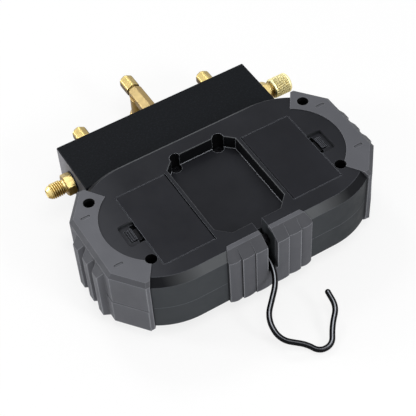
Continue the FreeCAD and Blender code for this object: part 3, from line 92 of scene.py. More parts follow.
class Graph:
    """A node material that is built step by step."""

    def __init__(self, name, roughness=0.5, metallic=0.0):
        self.material = bpy.data.materials.new(name)
        self.material.use_nodes = True
        self.tree = self.material.node_tree
        self.shader = self.tree.nodes["Principled BSDF"]
        self.shader.inputs["Roughness"].default_value = roughness
        self.shader.inputs["Metallic"].default_value = metallic
        self.coords = self.add("ShaderNodeTexCoord").outputs["Object"]

    def add(self, kind, **settings):
        node = self.tree.nodes.new(kind)
        for name, value in settings.items():
            setattr(node, name, value)
        return node

    def link(self, source, target):
        self.tree.links.new(source, target)

    def stretched(self, scale):
        """Object coordinates scaled differently along each axis."""
        mapping = self.add("ShaderNodeMapping")
        mapping.inputs["Scale"].default_value = scale
        self.link(self.coords, mapping.inputs["Vector"])
        return mapping.outputs["Vector"]

    def noise(self, size, detail=3.0, coords=None):
        """Noise whose blotches are about the given size."""
        node = self.add("ShaderNodeTexNoise")
        node.inputs["Scale"].default_value = 1 / size
        node.inputs["Detail"].default_value = detail
        self.link(coords or self.coords, node.inputs["Vector"])
        return node.outputs["Fac"]

    def cells(self, size):
        """Distance to the nearest of scattered points about the given size apart."""
        node = self.add("ShaderNodeTexVoronoi")
        node.inputs["Scale"].default_value = 1 / size
        self.link(self.coords, node.inputs["Vector"])
        return node.outputs["Distance"]

    def axis(self, letter):
        """Place along X, Y or Z."""
        split = self.add("ShaderNodeSeparateXYZ")
        self.link(self.coords, split.inputs["Vector"])
        return split.outputs[letter]

    def apart(self, first, second):
        """Length of a step that goes as far as first one way and as far as second across."""
        return self.math("SQRT", self.math("ADD", self.math("MULTIPLY", first, first),
                                           self.math("MULTIPLY", second, second)))

    def facing(self, direction, low, high):
        """From 0 to 1 as a face's normal, along a direction in the part, goes from low to
        high."""
        turn = self.add("ShaderNodeVectorMath", operation="DOT_PRODUCT")
        self.link(self.add("ShaderNodeTexCoord").outputs["Normal"], turn.inputs[0])
        turn.inputs[1].default_value = direction
        return self.spread(turn.outputs["Value"], low, high, 0, 1)

    def open_air(self, reach, low, high):
        """From 0 deep in grooves and corners to 1 on open faces."""
        node = self.add("ShaderNodeAmbientOcclusion", samples=8)
        node.inputs["Distance"].default_value = reach
        return self.spread(node.outputs["AO"], low, high, 0, 1)

    def off_axis(self, middle):
        """Distance from a line along X through the given Y and Z."""
        return self.apart(*[self.math("SUBTRACT", self.axis(letter), place)
                            for letter, place in zip("YZ", middle)])

    def between(self, value, start, stop):
        """1 from start to stop, and 0 elsewhere."""
        middle = self.math("SUBTRACT", value, (start + stop) / 2)
        return self.math("LESS_THAN", self.math("ABSOLUTE", middle), (stop - start) / 2)

    def rims(self, radius, sharpness=0.12):
        """From 0 on flat faces to 1 along edges, in a band about as wide as the radius."""
        rounding = self.add("ShaderNodeBevel", samples=6)
        rounding.inputs["Radius"].default_value = radius
        flat = self.add("ShaderNodeNewGeometry")
        turn = self.add("ShaderNodeVectorMath", operation="DOT_PRODUCT")
        self.link(rounding.outputs["Normal"], turn.inputs[0])
        self.link(flat.outputs["Normal"], turn.inputs[1])
        return self.spread(turn.outputs["Value"], 1 - sharpness, 0.995, 1, 0)

    def math(self, kind, first, second=0.0):
        return math_node(self.tree, kind, first, second)

    def spread(self, value, low, high, out_low, out_high):
        return range_node(self.tree, value, low, high, out_low, out_high)

    def mix(self, factor, first, second):
        """The first colour where the factor is 0 and the second where it is 1."""
        node = self.add("ShaderNodeMix", data_type="RGBA")
        self.link(factor, node.inputs["Factor"])
        for name, colour in (("A", first), ("B", second)):
            socket = [s for s in node.inputs if s.name == name and s.type == "RGBA"][0]
            fill(self.tree, socket, colour)
        return [s for s in node.outputs if s.type == "RGBA"][0]

    def colour(self, value):
        self.link(value, self.shader.inputs["Base Color"])

    def roughness(self, value):
        self.link(value, self.shader.inputs["Roughness"])

    def specular(self, level):
        self.shader.inputs["Specular IOR Level"].default_value = level

    def relief(self, height, depth, strength=1.0, edge=0.0):
        """Bump from a height, with edges that look rounded by the given radius."""
        bump = self.add("ShaderNodeBump")
        bump.inputs["Strength"].default_value = strength
        bump.inputs["Distance"].default_value = depth
        self.link(height, bump.inputs["Height"])
        if edge:
            rounding = self.add("ShaderNodeBevel", samples=6)
            rounding.inputs["Radius"].default_value = edge
            self.link(rounding.outputs["Normal"], bump.inputs["Normal"])
        self.link(bump.outputs["Normal"], self.shader.inputs["Normal"])


def scaled(colour, factor, lift=0.0):
    """A colour made lighter or darker by a factor, and then lifted."""
    return tuple(min(1, part * factor + lift) for part in colour[:3]) + (1,)


def moulded_plastic(name, colour, grain=0.35 * MM, rough=0.55, specular=0.3, edge=0.35 * MM,
                    highlight_colour=None, painted_light=None, painted_lines_and_shade=None):
    """Moulded plastic with a fine texture, faint flow clouds and rubbed places. With a highlight
    colour its open edges get pale painted highlights and its grooves and hollows painted shade,
    and two further functions may paint light and shade onto the colour from place to place."""
    graph = Graph(name, rough)
    graph.specular(specular)
    cloud = graph.noise(38 * MM, 4)
    fine = graph.noise(grain, 2)
    light = scaled(colour, 1.22, 0.002)
    dark = scaled(colour, 0.84)
    base = graph.mix(graph.spread(cloud, 0.3, 0.7, 0, 1), dark, light)
    base = graph.mix(graph.spread(fine, 0.35, 0.75, 0, 0.35), base, light)
    if painted_light:
        base = painted_light(graph, base)
    if highlight_colour:
        # Painted highlights: pale lines along open edges.
        clear = graph.open_air(1.5 * MM, 0.7, 0.9)
        base = graph.mix(graph.math("MULTIPLY", graph.rims(0.5 * MM), clear), base, highlight_colour)
        # Painted shade: near black in grooves and hollows.
        base = graph.mix(graph.open_air(4 * MM, 0.25, 0.8), srgb(5, 5, 6), base)
    if painted_lines_and_shade:
        base = painted_lines_and_shade(graph, base)
    graph.colour(base)
    rubbed = graph.noise(9 * MM, 5)
    graph.roughness(graph.spread(rubbed, 0.35, 0.7, rough - 0.07, rough + 0.09))
    graph.relief(fine, 0.04 * MM, 0.55, edge)
    return graph.material


def soft_rubber(name, colour, rough=0.62, specular=0.35, edge=0.7 * MM, highlight_colour=None):
    """Matt rubber with fine grain and slightly paler handled places. With a highlight colour it
    has pale painted highlights along its rims, broad ones beside its grip ribs, painted shade on
    its slopes, in its grooves and in the screw wells, and painted shade that deepens to the right."""
    graph = Graph(name, rough)
    graph.specular(specular)
    cloud = graph.noise(24 * MM, 4)
    fine = graph.noise(0.5 * MM, 3)
    pale = scaled(colour, 1.14)
    deep = scaled(colour, 0.88)
    base = graph.mix(graph.spread(cloud, 0.3, 0.72, 0, 1), deep, pale)
    if highlight_colour:
        flow = graph.noise(0.7 * MM, 3, graph.stretched((1, 1, 0.03)))
        base = graph.mix(graph.spread(flow, 0.35, 0.7, 0, 0.3), base, deep)
        # Painted shade that deepens to the right.
        shaded = graph.spread(graph.axis("X"), -70 * MM, -30 * MM, 0, 0.3)
        base = graph.mix(shaded, base, srgb(60, 61, 66))
        # Painted shade on sloped faces.
        shaded_slope = graph.math("MULTIPLY", graph.facing(UP, 0.2, 0.4), graph.facing(UP, 0.97, 0.85))
        base = graph.mix(graph.math("MULTIPLY", shaded_slope, 0.4), base, srgb(34, 35, 38))
        # Painted highlights: broad pale bands along the edges of steep faces beside the grip ribs.
        steep = graph.math("MULTIPLY", graph.facing(UP, 0.4, 0.2),
                           graph.open_air(2.5 * MM, 0.72, 0.9))
        steep = graph.math("MULTIPLY", steep, 0.75)
        base = graph.mix(graph.math("MULTIPLY", graph.rims(1.5 * MM), steep), base, highlight_colour)
        # Painted highlights: thin pale lines along open edges.
        clear = graph.math("MULTIPLY", graph.open_air(1.5 * MM, 0.75, 0.95), 0.5)
        base = graph.mix(graph.math("MULTIPLY", graph.rims(0.6 * MM), clear), base, highlight_colour)
        # Painted shade in grooves and hollows, and in the screw wells.
        base = graph.mix(graph.open_air(3.5 * MM, 0.25, 0.9), srgb(26, 27, 29), base)
        base = painted_shade_wells(graph, base)
    graph.colour(base)
    graph.roughness(graph.spread(graph.noise(6 * MM, 4), 0.3, 0.7, rough - 0.06, rough + 0.1))
    graph.relief(fine, 0.05 * MM, 0.5, edge)
    return graph.material


def powder_coat(name, colour, ends):
    """Black powder coat with an orange-peel texture. The face at the left end carries painted
    light, most so at its far side, and grooves and corners get painted shade."""
    graph = Graph(name, 0.5)
    graph.specular(0.05)
    pebble = graph.cells(0.75 * MM)
    fine = graph.noise(0.4 * MM, 3)
    height = graph.math("ADD", graph.math("MULTIPLY", pebble, 0.7),
                        graph.math("MULTIPLY", fine, 0.5))
    base = graph.mix(graph.spread(height, 0.3, 0.95, 0, 1), colour, scaled(colour, 1.5))
    base = graph.mix(graph.spread(graph.noise(1.3 * MM, 2), 0.5, 0.72, 0, 0.8), base,
                     scaled(colour, 2.6))
    # Painted light on the left end face, strongest at its far side.
    far = graph.spread(graph.axis("Y"), 50 * MM, 76 * MM, 0.25, 1)
    left = graph.math("MULTIPLY", graph.facing((-1, 0, 0), 0.7, 0.95), far)
    base = graph.mix(left, base, ends)
    # Painted shade: near black in grooves and corners.
    graph.colour(graph.mix(graph.open_air(3 * MM, 0.1, 0.8), srgb(6, 6, 7), base))
    graph.roughness(graph.spread(height, 0.3, 0.9, 0.42, 0.6))
    graph.relief(height, 0.16 * MM, 0.7, 0.3 * MM)
    return graph.material


def turned_metal(name, colour, rough, lines=(1, 1, 1), facing_shade=None, cut=None):
    """Metal with fine tool marks. lines is small along the way that the marks run.
    Faces that turn away from a given direction are painted in a darker colour as painted shade.
    cut gives the bottom and top radius of grooves round the side ports' axis, the colour of the
    painted shade at their bottom, and where they start and stop along X. With cut, the hexagon
    beside the block is painted darker as painted shade."""
    graph = Graph(name, rough, 1.0)
    marks = graph.noise(0.12 * MM, 2, graph.stretched(lines))
    stain = graph.noise(5 * MM, 4)
    base = graph.mix(graph.spread(stain, 0.3, 0.75, 0, 0.8), colour, scaled(colour, 0.78))
    if facing_shade:
        # Painted shade on faces that turn away from the direction.
        shade, direction, low, high = facing_shade
        base = graph.mix(graph.facing(direction, low, high), shade, base)
    if cut:
        bottom, top, shade, start, stop = cut
        # Painted shade at the bottom of the grooves.
        depth = graph.spread(graph.off_axis((port_y, port_z)), bottom, top, 1, 0)
        across = graph.math("ABSOLUTE", graph.axis("X"))
        grooves = graph.math("MULTIPLY", depth, graph.between(across, start, stop))
        base = graph.mix(grooves, base, shade)
        # Painted shade on the hexagon beside the block.
        base = graph.mix(graph.spread(across, hexagon_end, hexagon_end + 0.3 * MM, 0.4, 0), base,
                         srgb(112, 86, 38))
    graph.colour(base)
    graph.roughness(graph.spread(graph.noise(1.6 * MM, 4), 0.3, 0.7, rough - 0.05, rough + 0.1))
    graph.relief(marks, 0.02 * MM, 0.35, 0.12 * MM)
    return graph.material


def black_wire(name):
    """Polished black wire with a painted highlight along its upper side, outside the hook's slot.
    """
    graph = Graph(name, 0.3, 1.0)
    # Painted highlight: a pale line where the wire's normal points up and a little to the front
    # left.
    line = graph.facing((-0.15, -0.25, 0.955), 0.95, 0.99)
    outside = graph.spread(graph.axis("Y"), -74 * MM, -66 * MM, 1, 0)
    graph.colour(graph.mix(graph.math("MULTIPLY", line, outside), srgb(22, 22, 24),
                           srgb(108, 110, 114)))
    graph.roughness(graph.spread(graph.noise(1.6 * MM, 4), 0.3, 0.7, 0.26, 0.4))
    graph.relief(graph.noise(0.5 * MM, 2), 0.02 * MM, 0.2, 0.12 * MM)
    return graph.material


def clear_window(name):
    """Clear pane with faint smears."""
    graph = Graph(name)
    graph.shader.inputs["Transmission Weight"].default_value = 1.0
    graph.shader.inputs["IOR"].default_value = 1.49
    smear = graph.noise(14 * MM, 5)
    graph.roughness(graph.spread(smear, 0.35, 0.75, 0.02, 0.1))
    graph.colour(graph.mix(smear, (0.97, 0.98, 0.98, 1), (0.93, 0.95, 0.95, 1)))
    return graph.material


def circuit_board(name):
    """Green solder mask with copper tracks under it."""
    graph = Graph(name, 0.35)
    tracks = graph.add("ShaderNodeTexBrick")
    tracks.inputs["Scale"].default_value = 260
    tracks.inputs["Mortar Size"].default_value = 0.06
    tracks.inputs["Color1"].default_value = srgb(18, 78, 42)
    tracks.inputs["Color2"].default_value = srgb(14, 66, 36)
    tracks.inputs["Mortar"].default_value = srgb(40, 120, 66)
    graph.link(graph.coords, tracks.inputs["Vector"])
    graph.colour(graph.mix(graph.spread(graph.noise(7 * MM), 0.4, 0.6, 0, 1),
                           tracks.outputs["Color"], srgb(17, 72, 40)))
    graph.relief(tracks.outputs["Fac"], 0.03 * MM, 0.5)
    return graph.material


def cell_sleeve(name):
    """AA cell: plain dark sleeve with a copper-coloured end band and bare steel ends."""
    graph = Graph(name, 0.3, 0.75)
    low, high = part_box("aa_cells_left")
    along = graph.spread(graph.axis("Y"), low.y, high.y, 0, 1)
    scratches = graph.noise(0.6 * MM, 3, graph.stretched((1, 0.1, 1)))
    sleeve = graph.mix(graph.spread(scratches, 0.4, 0.7, 0, 1), srgb(46, 48, 54), srgb(60, 62, 68))
    band = graph.math("GREATER_THAN", along, 0.72)
    body = graph.mix(band, sleeve, srgb(176, 112, 66))
    middle = graph.between(along, 0.024, 0.976)
    graph.colour(graph.mix(middle, srgb(190, 190, 192), body))
    graph.relief(scratches, 0.02 * MM, 0.3)
    return graph.material


def display_face(name):
    """Unlit reflective display: grey-green with a faint grid of cells."""
    graph = Graph(name, 0.28)
    grid = graph.add("ShaderNodeTexChecker")
    grid.inputs["Scale"].default_value = 900
    grid.inputs["Color1"].default_value = srgb(112, 122, 110)
    grid.inputs["Color2"].default_value = srgb(106, 116, 104)
    graph.link(graph.coords, grid.inputs["Vector"])
    graph.colour(graph.mix(graph.spread(graph.noise(30 * MM), 0.3, 0.7, 0, 0.5),
                           grid.outputs["Color"], srgb(120, 130, 118)))
    graph.relief(graph.noise(0.2 * MM), 0.005 * MM, 0.3)
    return graph.material


# Middles of the screw wells on the right, which the left mirrors, and a radius round them
WELLS = ((82.5 * MM, 16.69 * MM), (70.9 * MM, -44.26 * MM), (16.4 * MM, 20.09 * MM))
WELL_RADIUS = 3.93 * MM


def painted_shade_wells(graph, base):
    """Painted shade: the walls of the screw wells are painted nearly black."""
    across = graph.math("ABSOLUTE", graph.axis("X"))
    for x, y in WELLS:
        reach = graph.apart(graph.math("SUBTRACT", across, x),
                            graph.math("SUBTRACT", graph.axis("Y"), y))
        base = graph.mix(graph.math("LESS_THAN", reach, WELL_RADIUS), base, srgb(7, 7, 8))
    return base


def in_pocket(graph):
    """1 over the hook's pocket and its walls, and 0 elsewhere."""
    return graph.math("MULTIPLY", graph.between(graph.axis("X"), -28 * MM, 28 * MM),
                      graph.between(graph.axis("Y"), -46 * MM, 24 * MM))


def case_painted_light(graph, base):
    """Painted light on the case: a painted sheen at its left end, painted light on its outer wall
    and a painted highlight along the middle of its bevel. The wall carries painted shade that
    deepens to the right, and the hook's pocket has walls painted dark as painted shade."""
    # Painted sheen, paler towards the left end.
    left_sheen = graph.spread(graph.axis("X"), -56 * MM, -88 * MM, 0, 0.9)
    base = graph.mix(left_sheen, base, srgb(54, 55, 59))
    # Painted light on the outer wall, with painted shade deepening to the right and on the pocket
    # walls.
    wall = graph.mix(graph.spread(graph.axis("X"), 30 * MM, 90 * MM, 0, 0.8),
                     srgb(58, 61, 64), srgb(34, 36, 38))
    wall = graph.mix(in_pocket(graph), wall, srgb(12, 13, 15))
    # Painted highlight along the middle of the bevel.
    across = graph.math("ABSOLUTE", graph.math("SUBTRACT", graph.axis("X"), -5 * MM))
    bevel = graph.mix(graph.spread(across, 42 * MM, 68 * MM, 0, 1), srgb(80, 82, 84),
                      srgb(16, 17, 20))
    steep = graph.mix(graph.facing(UP, 0.3, 0.55), wall, bevel)
    return graph.mix(graph.facing(UP, 0.8, 0.93), steep, base)


def pocket_painted_lines_and_shade(graph, base):
    """Painted highlights as pale lines along the rims and the foot of the pocket's walls, and
    painted shade in the screw wells.
    """
    line = graph.math("MULTIPLY", graph.rims(0.8 * MM), in_pocket(graph))
    base = graph.mix(graph.math("MULTIPLY", line, 0.9), base, srgb(164, 167, 174))
    return painted_shade_wells(graph, base)


# Sizes that the looks and the fittings share. The hexagon's end is a place along X.
block_low, block_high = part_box("manifold_block")
cap_low, cap_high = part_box("port_cap")
port_y = (block_low.y + block_high.y) / 2
port_z = (block_low.z + block_high.z) / 2
cap_radius = (cap_high.z - cap_low.z) / 2
CREST = 5.55 * MM
NECK = 4.6 * MM
HEXAGON_FLATS = 14 * MM
HEXAGON_START = 0.8 * MM
SIDE_HEXAGON_LONG = 6 * MM
hexagon_end = block_high.x + HEXAGON_START + SIDE_HEXAGON_LONG + 0.2 * MM

# Looks. BESIDE is a direction that leans from the top to the left; brass faces that turn away from
# it get painted shade.
BESIDE = (-0.35, 0, 0.94)
# The highlight colours given below are painted highlights along edges, and the block's second
# colour is painted light on its left end.
case_plastic = moulded_plastic("case_plastic", srgb(30, 31, 35), specular=0.08,
                               edge=0.6 * MM, highlight_colour=srgb(104, 107, 113), painted_light=case_painted_light,
                               painted_lines_and_shade=pocket_painted_lines_and_shade)
door_plastic = moulded_plastic("door_plastic", srgb(22, 23, 28), rough=0.5, specular=0.1,
                               highlight_colour=srgb(118, 121, 128))
guard_rubber = soft_rubber("guard_rubber", srgb(88, 89, 94), specular=0.22, edge=0.9 * MM,
                           highlight_colour=srgb(158, 160, 166))
key_rubber = soft_rubber("key_rubber", srgb(86, 88, 92))
seal_rubber = soft_rubber("seal_rubber", srgb(28, 28, 30))
block_coat = powder_coat("block_coat", srgb(13, 15, 18), srgb(132, 132, 137))
brass = turned_metal("brass_matt", srgb(206, 182, 128), 0.36, (1, 0.06, 1),
                     facing_shade=(srgb(136, 110, 58), BESIDE, 0.5, 0.95))
brass_bright = turned_metal("brass_bright", srgb(230, 206, 136), 0.28, (1, 0.5, 1),
                            facing_shade=(srgb(92, 70, 28), BESIDE, 0.35, 0.9))
brass_thread = turned_metal("brass_thread", srgb(244, 222, 154), 0.38, (0.5, 1, 1),
                            facing_shade=(srgb(164, 134, 70), UP, 0.0, 0.6),
                            cut=(NECK, 5.0 * MM, srgb(140, 110, 50), 83.6 * MM, 92.4 * MM))
brass_knurl = turned_metal("brass_knurl", srgb(255, 246, 192), 0.4, (1, 1, 1),
                           facing_shade=(srgb(226, 206, 136), UP, 0.0, 0.6),
                           cut=(cap_radius - 0.45 * MM, cap_radius - 0.12 * MM,
                                srgb(104, 82, 34), 86.4 * MM, 98 * MM))
hook_coat = black_wire("hook_coat")
steel = turned_metal("steel", srgb(176, 177, 180), 0.32)
screw_steel = turned_metal("screw_steel", srgb(48, 48, 52), 0.36)
board_green = circuit_board("board_green")
chip_black = moulded_plastic("chip_black", srgb(30, 30, 32), 0.2 * MM, 0.45)
display_glass = display_face("display_glass")
window_clear = clear_window("window_clear")
wheel_blue = moulded_plastic("wheel_blue", srgb(24, 62, 128), 0.4 * MM, 0.42, 0.4)
wheel_red = moulded_plastic("wheel_red", srgb(150, 28, 24), 0.4 * MM, 0.42, 0.4)
cell_wrap = cell_sleeve("cell_wrap")

slot_looks = {
    "case_plastic": case_plastic, "guard_rubber": guard_rubber, "block_coat": block_coat,
    "brass": brass, "brass_bright": brass_bright, "hook_coat": hook_coat, "steel": steel,
    "screw_steel": screw_steel, "cell_wrap": cell_wrap, "board_green": board_green,
    "chip_black": chip_black, "display_glass": display_glass, "window_clear": window_clear,
    "key_rubber": key_rubber, "wheel_blue": wheel_blue, "wheel_red": wheel_red,
    "seal_rubber": seal_rubber}
node_looks = {"battery_door_left": door_plastic, "battery_door_right": door_plastic,
              "port_washers": screw_steel}
for entry in frame["record"]["subparts"]:
    materials = nodes[entry["node"]].data.materials
    materials.clear()
    materials.append(node_looks.get(entry["node"], slot_looks[entry["material_slot"]]))


# Mesh helpers
def shade(mesh, sharp):
    """Smooth shading that keeps edges sharper than the angle in degrees."""
    work = bmesh.new()
    work.from_mesh(mesh)
    for face in work.faces:
        face.smooth = True
    for edge in work.edges:
        turned = len(edge.link_faces) == 2 and edge.calc_face_angle(0) > math.radians(sharp)
        edge.smooth = not turned
    work.to_mesh(mesh)
    work.free()


def piece(name, shape, body, look, sharp, replaced=()):
    """Shown piece that moves with a body. shape is a pair of corners and faces."""
    verts, faces = shape
    mesh = bpy.data.meshes.new(name)
    mesh.from_pydata([tuple(vert) for vert in verts], [], faces)
    mesh.update()
    shade(mesh, sharp)
    mesh.materials.append(look)
    made = bpy.data.objects.new(name, mesh)
    bpy.context.scene.collection.objects.link(made)
    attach(made, body)
    if replaced:
        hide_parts(*replaced)


def lathe(profile, turned, segments=96):
    """Closed ring surface. profile gives heights and radii, and turned maps a point to the
    part frame. A radius may be a function of the angle."""
    verts = []
    for height, radius in profile:
        for i in range(segments):
            angle = 2 * math.pi * i / segments
            reach = radius(angle) if callable(radius) else radius
            verts.append(turned(Vector((reach * math.cos(angle), reach * math.sin(angle),
                                        height))))
    faces = []
    rings = len(profile)
    for j in range(rings):
        k = (j + 1) % rings
        for i in range(segments):
            n = (i + 1) % segments
            faces.append((j * segments + i, j * segments + n, k * segments + n, k * segments + i))
    return verts, faces


def aimed(origin, direction):
    """Maps a shape drawn along Z to one that starts at a point and runs along a direction."""
    turn = Vector((0, 0, 1)).rotation_difference(Vector(direction)).to_matrix()
    return lambda point: turn @ point + Vector(origin)


def in_mm(rows):
    """Profile rows whose heights and radii are given in millimetres."""
    return [(height * MM, radius * MM) for height, radius in rows]


def hexagon(flats, limit, turned):
    """Radius of a hexagon across its flats, with its corners cut off at a limit."""
    def radius(angle):
        side = ((angle - turned) % (math.pi / 3)) - math.pi / 6
        return min(flats / 2 / math.cos(side), limit)
    return radius


def hexagon_rows(start, stop, flats, turned=0.0):
    """Profile rows of a hexagonal length whose corners are turned down at both ends."""
    half = flats / 2
    ends = ((0, 1.03), (0.15, 1.08), (0.45, 1.16))
    rows = [(start + step * MM, hexagon(flats, half * share, turned)) for step, share in ends]
    rows += [(stop - step * MM, hexagon(flats, half * share, turned))
             for step, share in reversed(ends)]
    return rows


def thread(start, stop, crest, root, pitch):
    """Profile rows of a helical thread between two heights, which fades in and out."""
    rows = []
    steps = int((stop - start) / pitch * 10)
    fade_long = 0.8 * pitch
    for j in range(steps + 1):
        height = start + (stop - start) * j / steps
        fade = max(0, min(1, (height - start) / fade_long, (stop - height) / fade_long))

        def radius(angle, height=height, fade=fade):
            phase = (height / pitch - angle / (2 * math.pi)) % 1
            rise = min(1, max(0, 1.5 * (1 - abs(2 * phase - 1)) - 0.2))
            return root + (crest - root) * rise * fade
        rows.append((height, radius))
    return rows


# Flare fittings with cut threads. Heights start at the face of the block.
PITCH = 1.5 * MM
SHANK = 4.9 * MM
BORE = 2.4 * MM
SHALLOW_ROOT = 5.4 * MM
SHANK_ROWS = [(-8 * MM, SHANK - 0.5 * MM), (-7.4 * MM, SHANK), (0.7 * MM, SHANK)]
BORE_ROWS = [(-7.6 * MM, BORE), (-8 * MM, BORE + 0.3 * MM)]


def faceted(rows):
    """The same profile with six slight flats on its outside. The bore stays round."""
    def flattened(radius):
        def reach(angle):
            full = radius(angle) if callable(radius) else radius
            return hexagon(2 * 0.93 * full, full, math.pi / 6)(angle)
        return reach if callable(radius) or radius > 3 * MM else radius
    return [(height, flattened(radius)) for height, radius in rows]


def flare_rows(shoulder, thread_from, thread_to, root):
    """Profile rows from a fitting's neck over its thread and its flare into the bore."""
    tip = thread_to + 2.5 * MM
    rows = [(shoulder + 0.02 * MM, NECK + 0.2 * MM), (shoulder + 0.3 * MM, NECK)]
    rows += [(thread_from - 0.15 * MM, NECK), (thread_from, NECK + 0.25 * MM)]
    rows += thread(thread_from + 0.05 * MM, thread_to - 0.05 * MM, CREST, root, PITCH)
    rows += [(thread_to, root), (thread_to + 0.15 * MM, 4.95 * MM)]
    rows += [(tip - 0.35 * MM, 3.5 * MM), (tip - 0.1 * MM, 3.28 * MM), (tip, 3.05 * MM)]
    rows += [(tip, BORE + 0.25 * MM), (tip - 0.3 * MM, BORE)]
    return rows


def fitting(name, origin, direction, hexagon_long, look, root=NECK):
    """Flare fitting behind a hexagon. A shallow root also gives it slight flats."""
    shoulder = HEXAGON_START + hexagon_long
    thread_from = shoulder + 1.5 * MM
    ending = flare_rows(shoulder, thread_from, thread_from + 9.3 * MM, root)
    if root == SHALLOW_ROOT:
        ending = faceted(ending)
    rows = SHANK_ROWS + hexagon_rows(HEXAGON_START, shoulder, HEXAGON_FLATS) + ending + BORE_ROWS
    piece(name + "_turned", lathe(rows, aimed(origin, direction)), "case", look,
          40, (name,))


fitting("low_side_port", (block_low.x, port_y, port_z), (-1, 0, 0), SIDE_HEXAGON_LONG,
        brass_thread)
fitting("high_side_port", (block_high.x, port_y, port_z), (1, 0, 0), SIDE_HEXAGON_LONG,
        brass_thread)
for side, word in ((-1, "left"), (1, "right")):
    fitting("far_port_" + word, (50.6 * MM * side, block_high.y, port_z), (0, 1, 0), 5.1 * MM,
            brass_bright, SHALLOW_ROOT)


# Port cap with a diamond knurl between two plain chamfered bands
KNURL_TEETH = 30
KNURL_DEPTH = 0.55 * MM
KNURL_STEPS = 64
CAP_BORE = 5.6 * MM


def knurl(height, rise):
    """Radius at a height of the cap, with grooves that wind both ways round it."""
    spacing = math.pi * 2 * cap_radius / KNURL_TEETH

    def radius(angle):
        turns = angle * KNURL_TEETH / (2 * math.pi)
        first = abs(((turns + height / spacing) % 1) * 2 - 1)
        second = abs(((turns - height / spacing) % 1) * 2 - 1)
        return cap_radius - KNURL_DEPTH * rise * (1 - min(1, 2 * min(first, second)))
    return radius


def knurled_cap():
    long = cap_high.x - cap_low.x
    rows = [(0.05 * MM, CAP_BORE + 0.35 * MM)]
    for height, inset in ((0, 1.1), (0.1, 0.9), (0.95, 0.12), (1.1, 0.05), (1.7, 0)):
        rows.append((height * MM, cap_radius - inset * MM))
    start = 1.8 * MM
    stop = long - 1.9 * MM
    for j in range(KNURL_STEPS + 1):
        height = start + (stop - start) * j / KNURL_STEPS
        rows.append((height, knurl(height, min(1, j / 2, (KNURL_STEPS - j) / 2))))
    for below, inset in ((1.8, 0), (1.15, 0.05), (1.0, 0.12), (0.12, 0.95), (0, 1.15)):
        rows.append((long - below * MM, cap_radius - inset * MM))
    rows += [(long, 0.5 * MM), (long - 0.02 * MM, 0.01 * MM), (long - 1.5 * MM, 0.01 * MM),
             (long - 1.6 * MM, CAP_BORE), (long - 1.7 * MM, CAP_BORE), (0.3 * MM, CAP_BORE)]
    shape = lathe(rows, aimed((cap_low.x, port_y, port_z), (1, 0, 0)), 270)
    piece("port_cap_knurled", shape, "cap", brass_knurl, 38, ("port_cap",))


knurled_cap()


# Centre port: hexagonal stem with a flare end and a branch towards the display side
STEM_X = 2 * MM
STEM_LONG = 30.5 * MM
STEM_FLATS = 9.8 * MM
BRANCH_FROM_BLOCK = 25.4 * MM


def centre_port():
    place = aimed((STEM_X, block_high.y, port_z), (0, 1, 0))
    rows = SHANK_ROWS + hexagon_rows(HEXAGON_START, 5.4 * MM, HEXAGON_FLATS)
    rows += hexagon_rows(5.42 * MM, STEM_LONG, STEM_FLATS, math.pi / 6)
    rows += [(STEM_LONG, BORE)] + BORE_ROWS
    piece("centre_stem", lathe(rows, place), "case", brass, 40, ("centre_port",))
    rows = flare_rows(STEM_LONG, STEM_LONG + 1.9 * MM, STEM_LONG + 13.3 * MM, SHALLOW_ROOT)
    rows = faceted(rows + [(STEM_LONG + 0.05 * MM, BORE)])
    piece("centre_head", lathe(rows, place), "case", brass_bright, 40)
    rows = in_mm(((1, 4.1), (1, 6.2), (15.3, 6.2), (15.5, 6.0), (16.6, 6.0), (16.8, 6.7)))
    rows += thread(16.85 * MM, 24.95 * MM, 7.9 * MM, 7.1 * MM, 1.41 * MM)
    rows += in_mm(((25.0, 7.0), (25.2, 6.6), (27.0, 5.4), (27.35, 5.0), (27.35, 4.3),
                   (27.1, 4.0)))
    spot = (STEM_X, block_high.y + BRANCH_FROM_BLOCK, port_z)
    piece("centre_branch", lathe(rows, aimed(spot, (0, 0, -1))), "case", brass, 40)


centre_port()


# Battery springs as wound wire on contact plates
def tube(points, radius, sides=10):
    """Mesh of round wire along points."""
    verts, faces = [], []
    up = Vector((0.137, 0.371, 0.919))
    for i, point in enumerate(points):
        ahead = points[min(i + 1, len(points) - 1)] - points[max(i - 1, 0)]
        ahead.normalize()
        across = ahead.cross(up).normalized()
        up = across.cross(ahead).normalized()
        for k in range(sides):
            angle = 2 * math.pi * k / sides
            verts.append(point + (across * math.cos(angle) + up * math.sin(angle)) * radius)
    for i in range(len(points) - 1):
        for k in range(sides):
            n = (k + 1) % sides
            faces.append((i * sides + k, i * sides + n, (i + 1) * sides + n, (i + 1) * sides + k))
    last = (len(points) - 1) * sides
    faces.append(tuple(range(sides - 1, -1, -1)))
    faces.append(tuple(range(last, last + sides)))
    return verts, faces


def join(parts):
    """One mesh from several lists of corners and faces."""
    verts, faces = [], []
    for some_verts, some_faces in parts:
        start = len(verts)
        verts += some_verts
        faces += [tuple(start + i for i in face) for face in some_faces]
    return verts, faces


def slab(low, high, edge):
    """Block with cut edges between its lowest and highest corners."""
    middle = (low + high) / 2
    half = (high - low) / 2
    work = bmesh.new()
    bmesh.ops.create_cube(work, size=2)
    for vert in work.verts:
        vert.co = Vector([vert.co[i] * half[i] + middle[i] for i in range(3)])
    bmesh.ops.bevel(work, geom=list(work.edges), offset=edge, segments=2, profile=0.6,
                    affect="EDGES")
    verts = [vert.co.copy() for vert in work.verts]
    index = {vert: i for i, vert in enumerate(work.verts)}
    faces = [tuple(index[vert] for vert in face.verts) for face in work.faces]
    work.free()
    return verts, faces


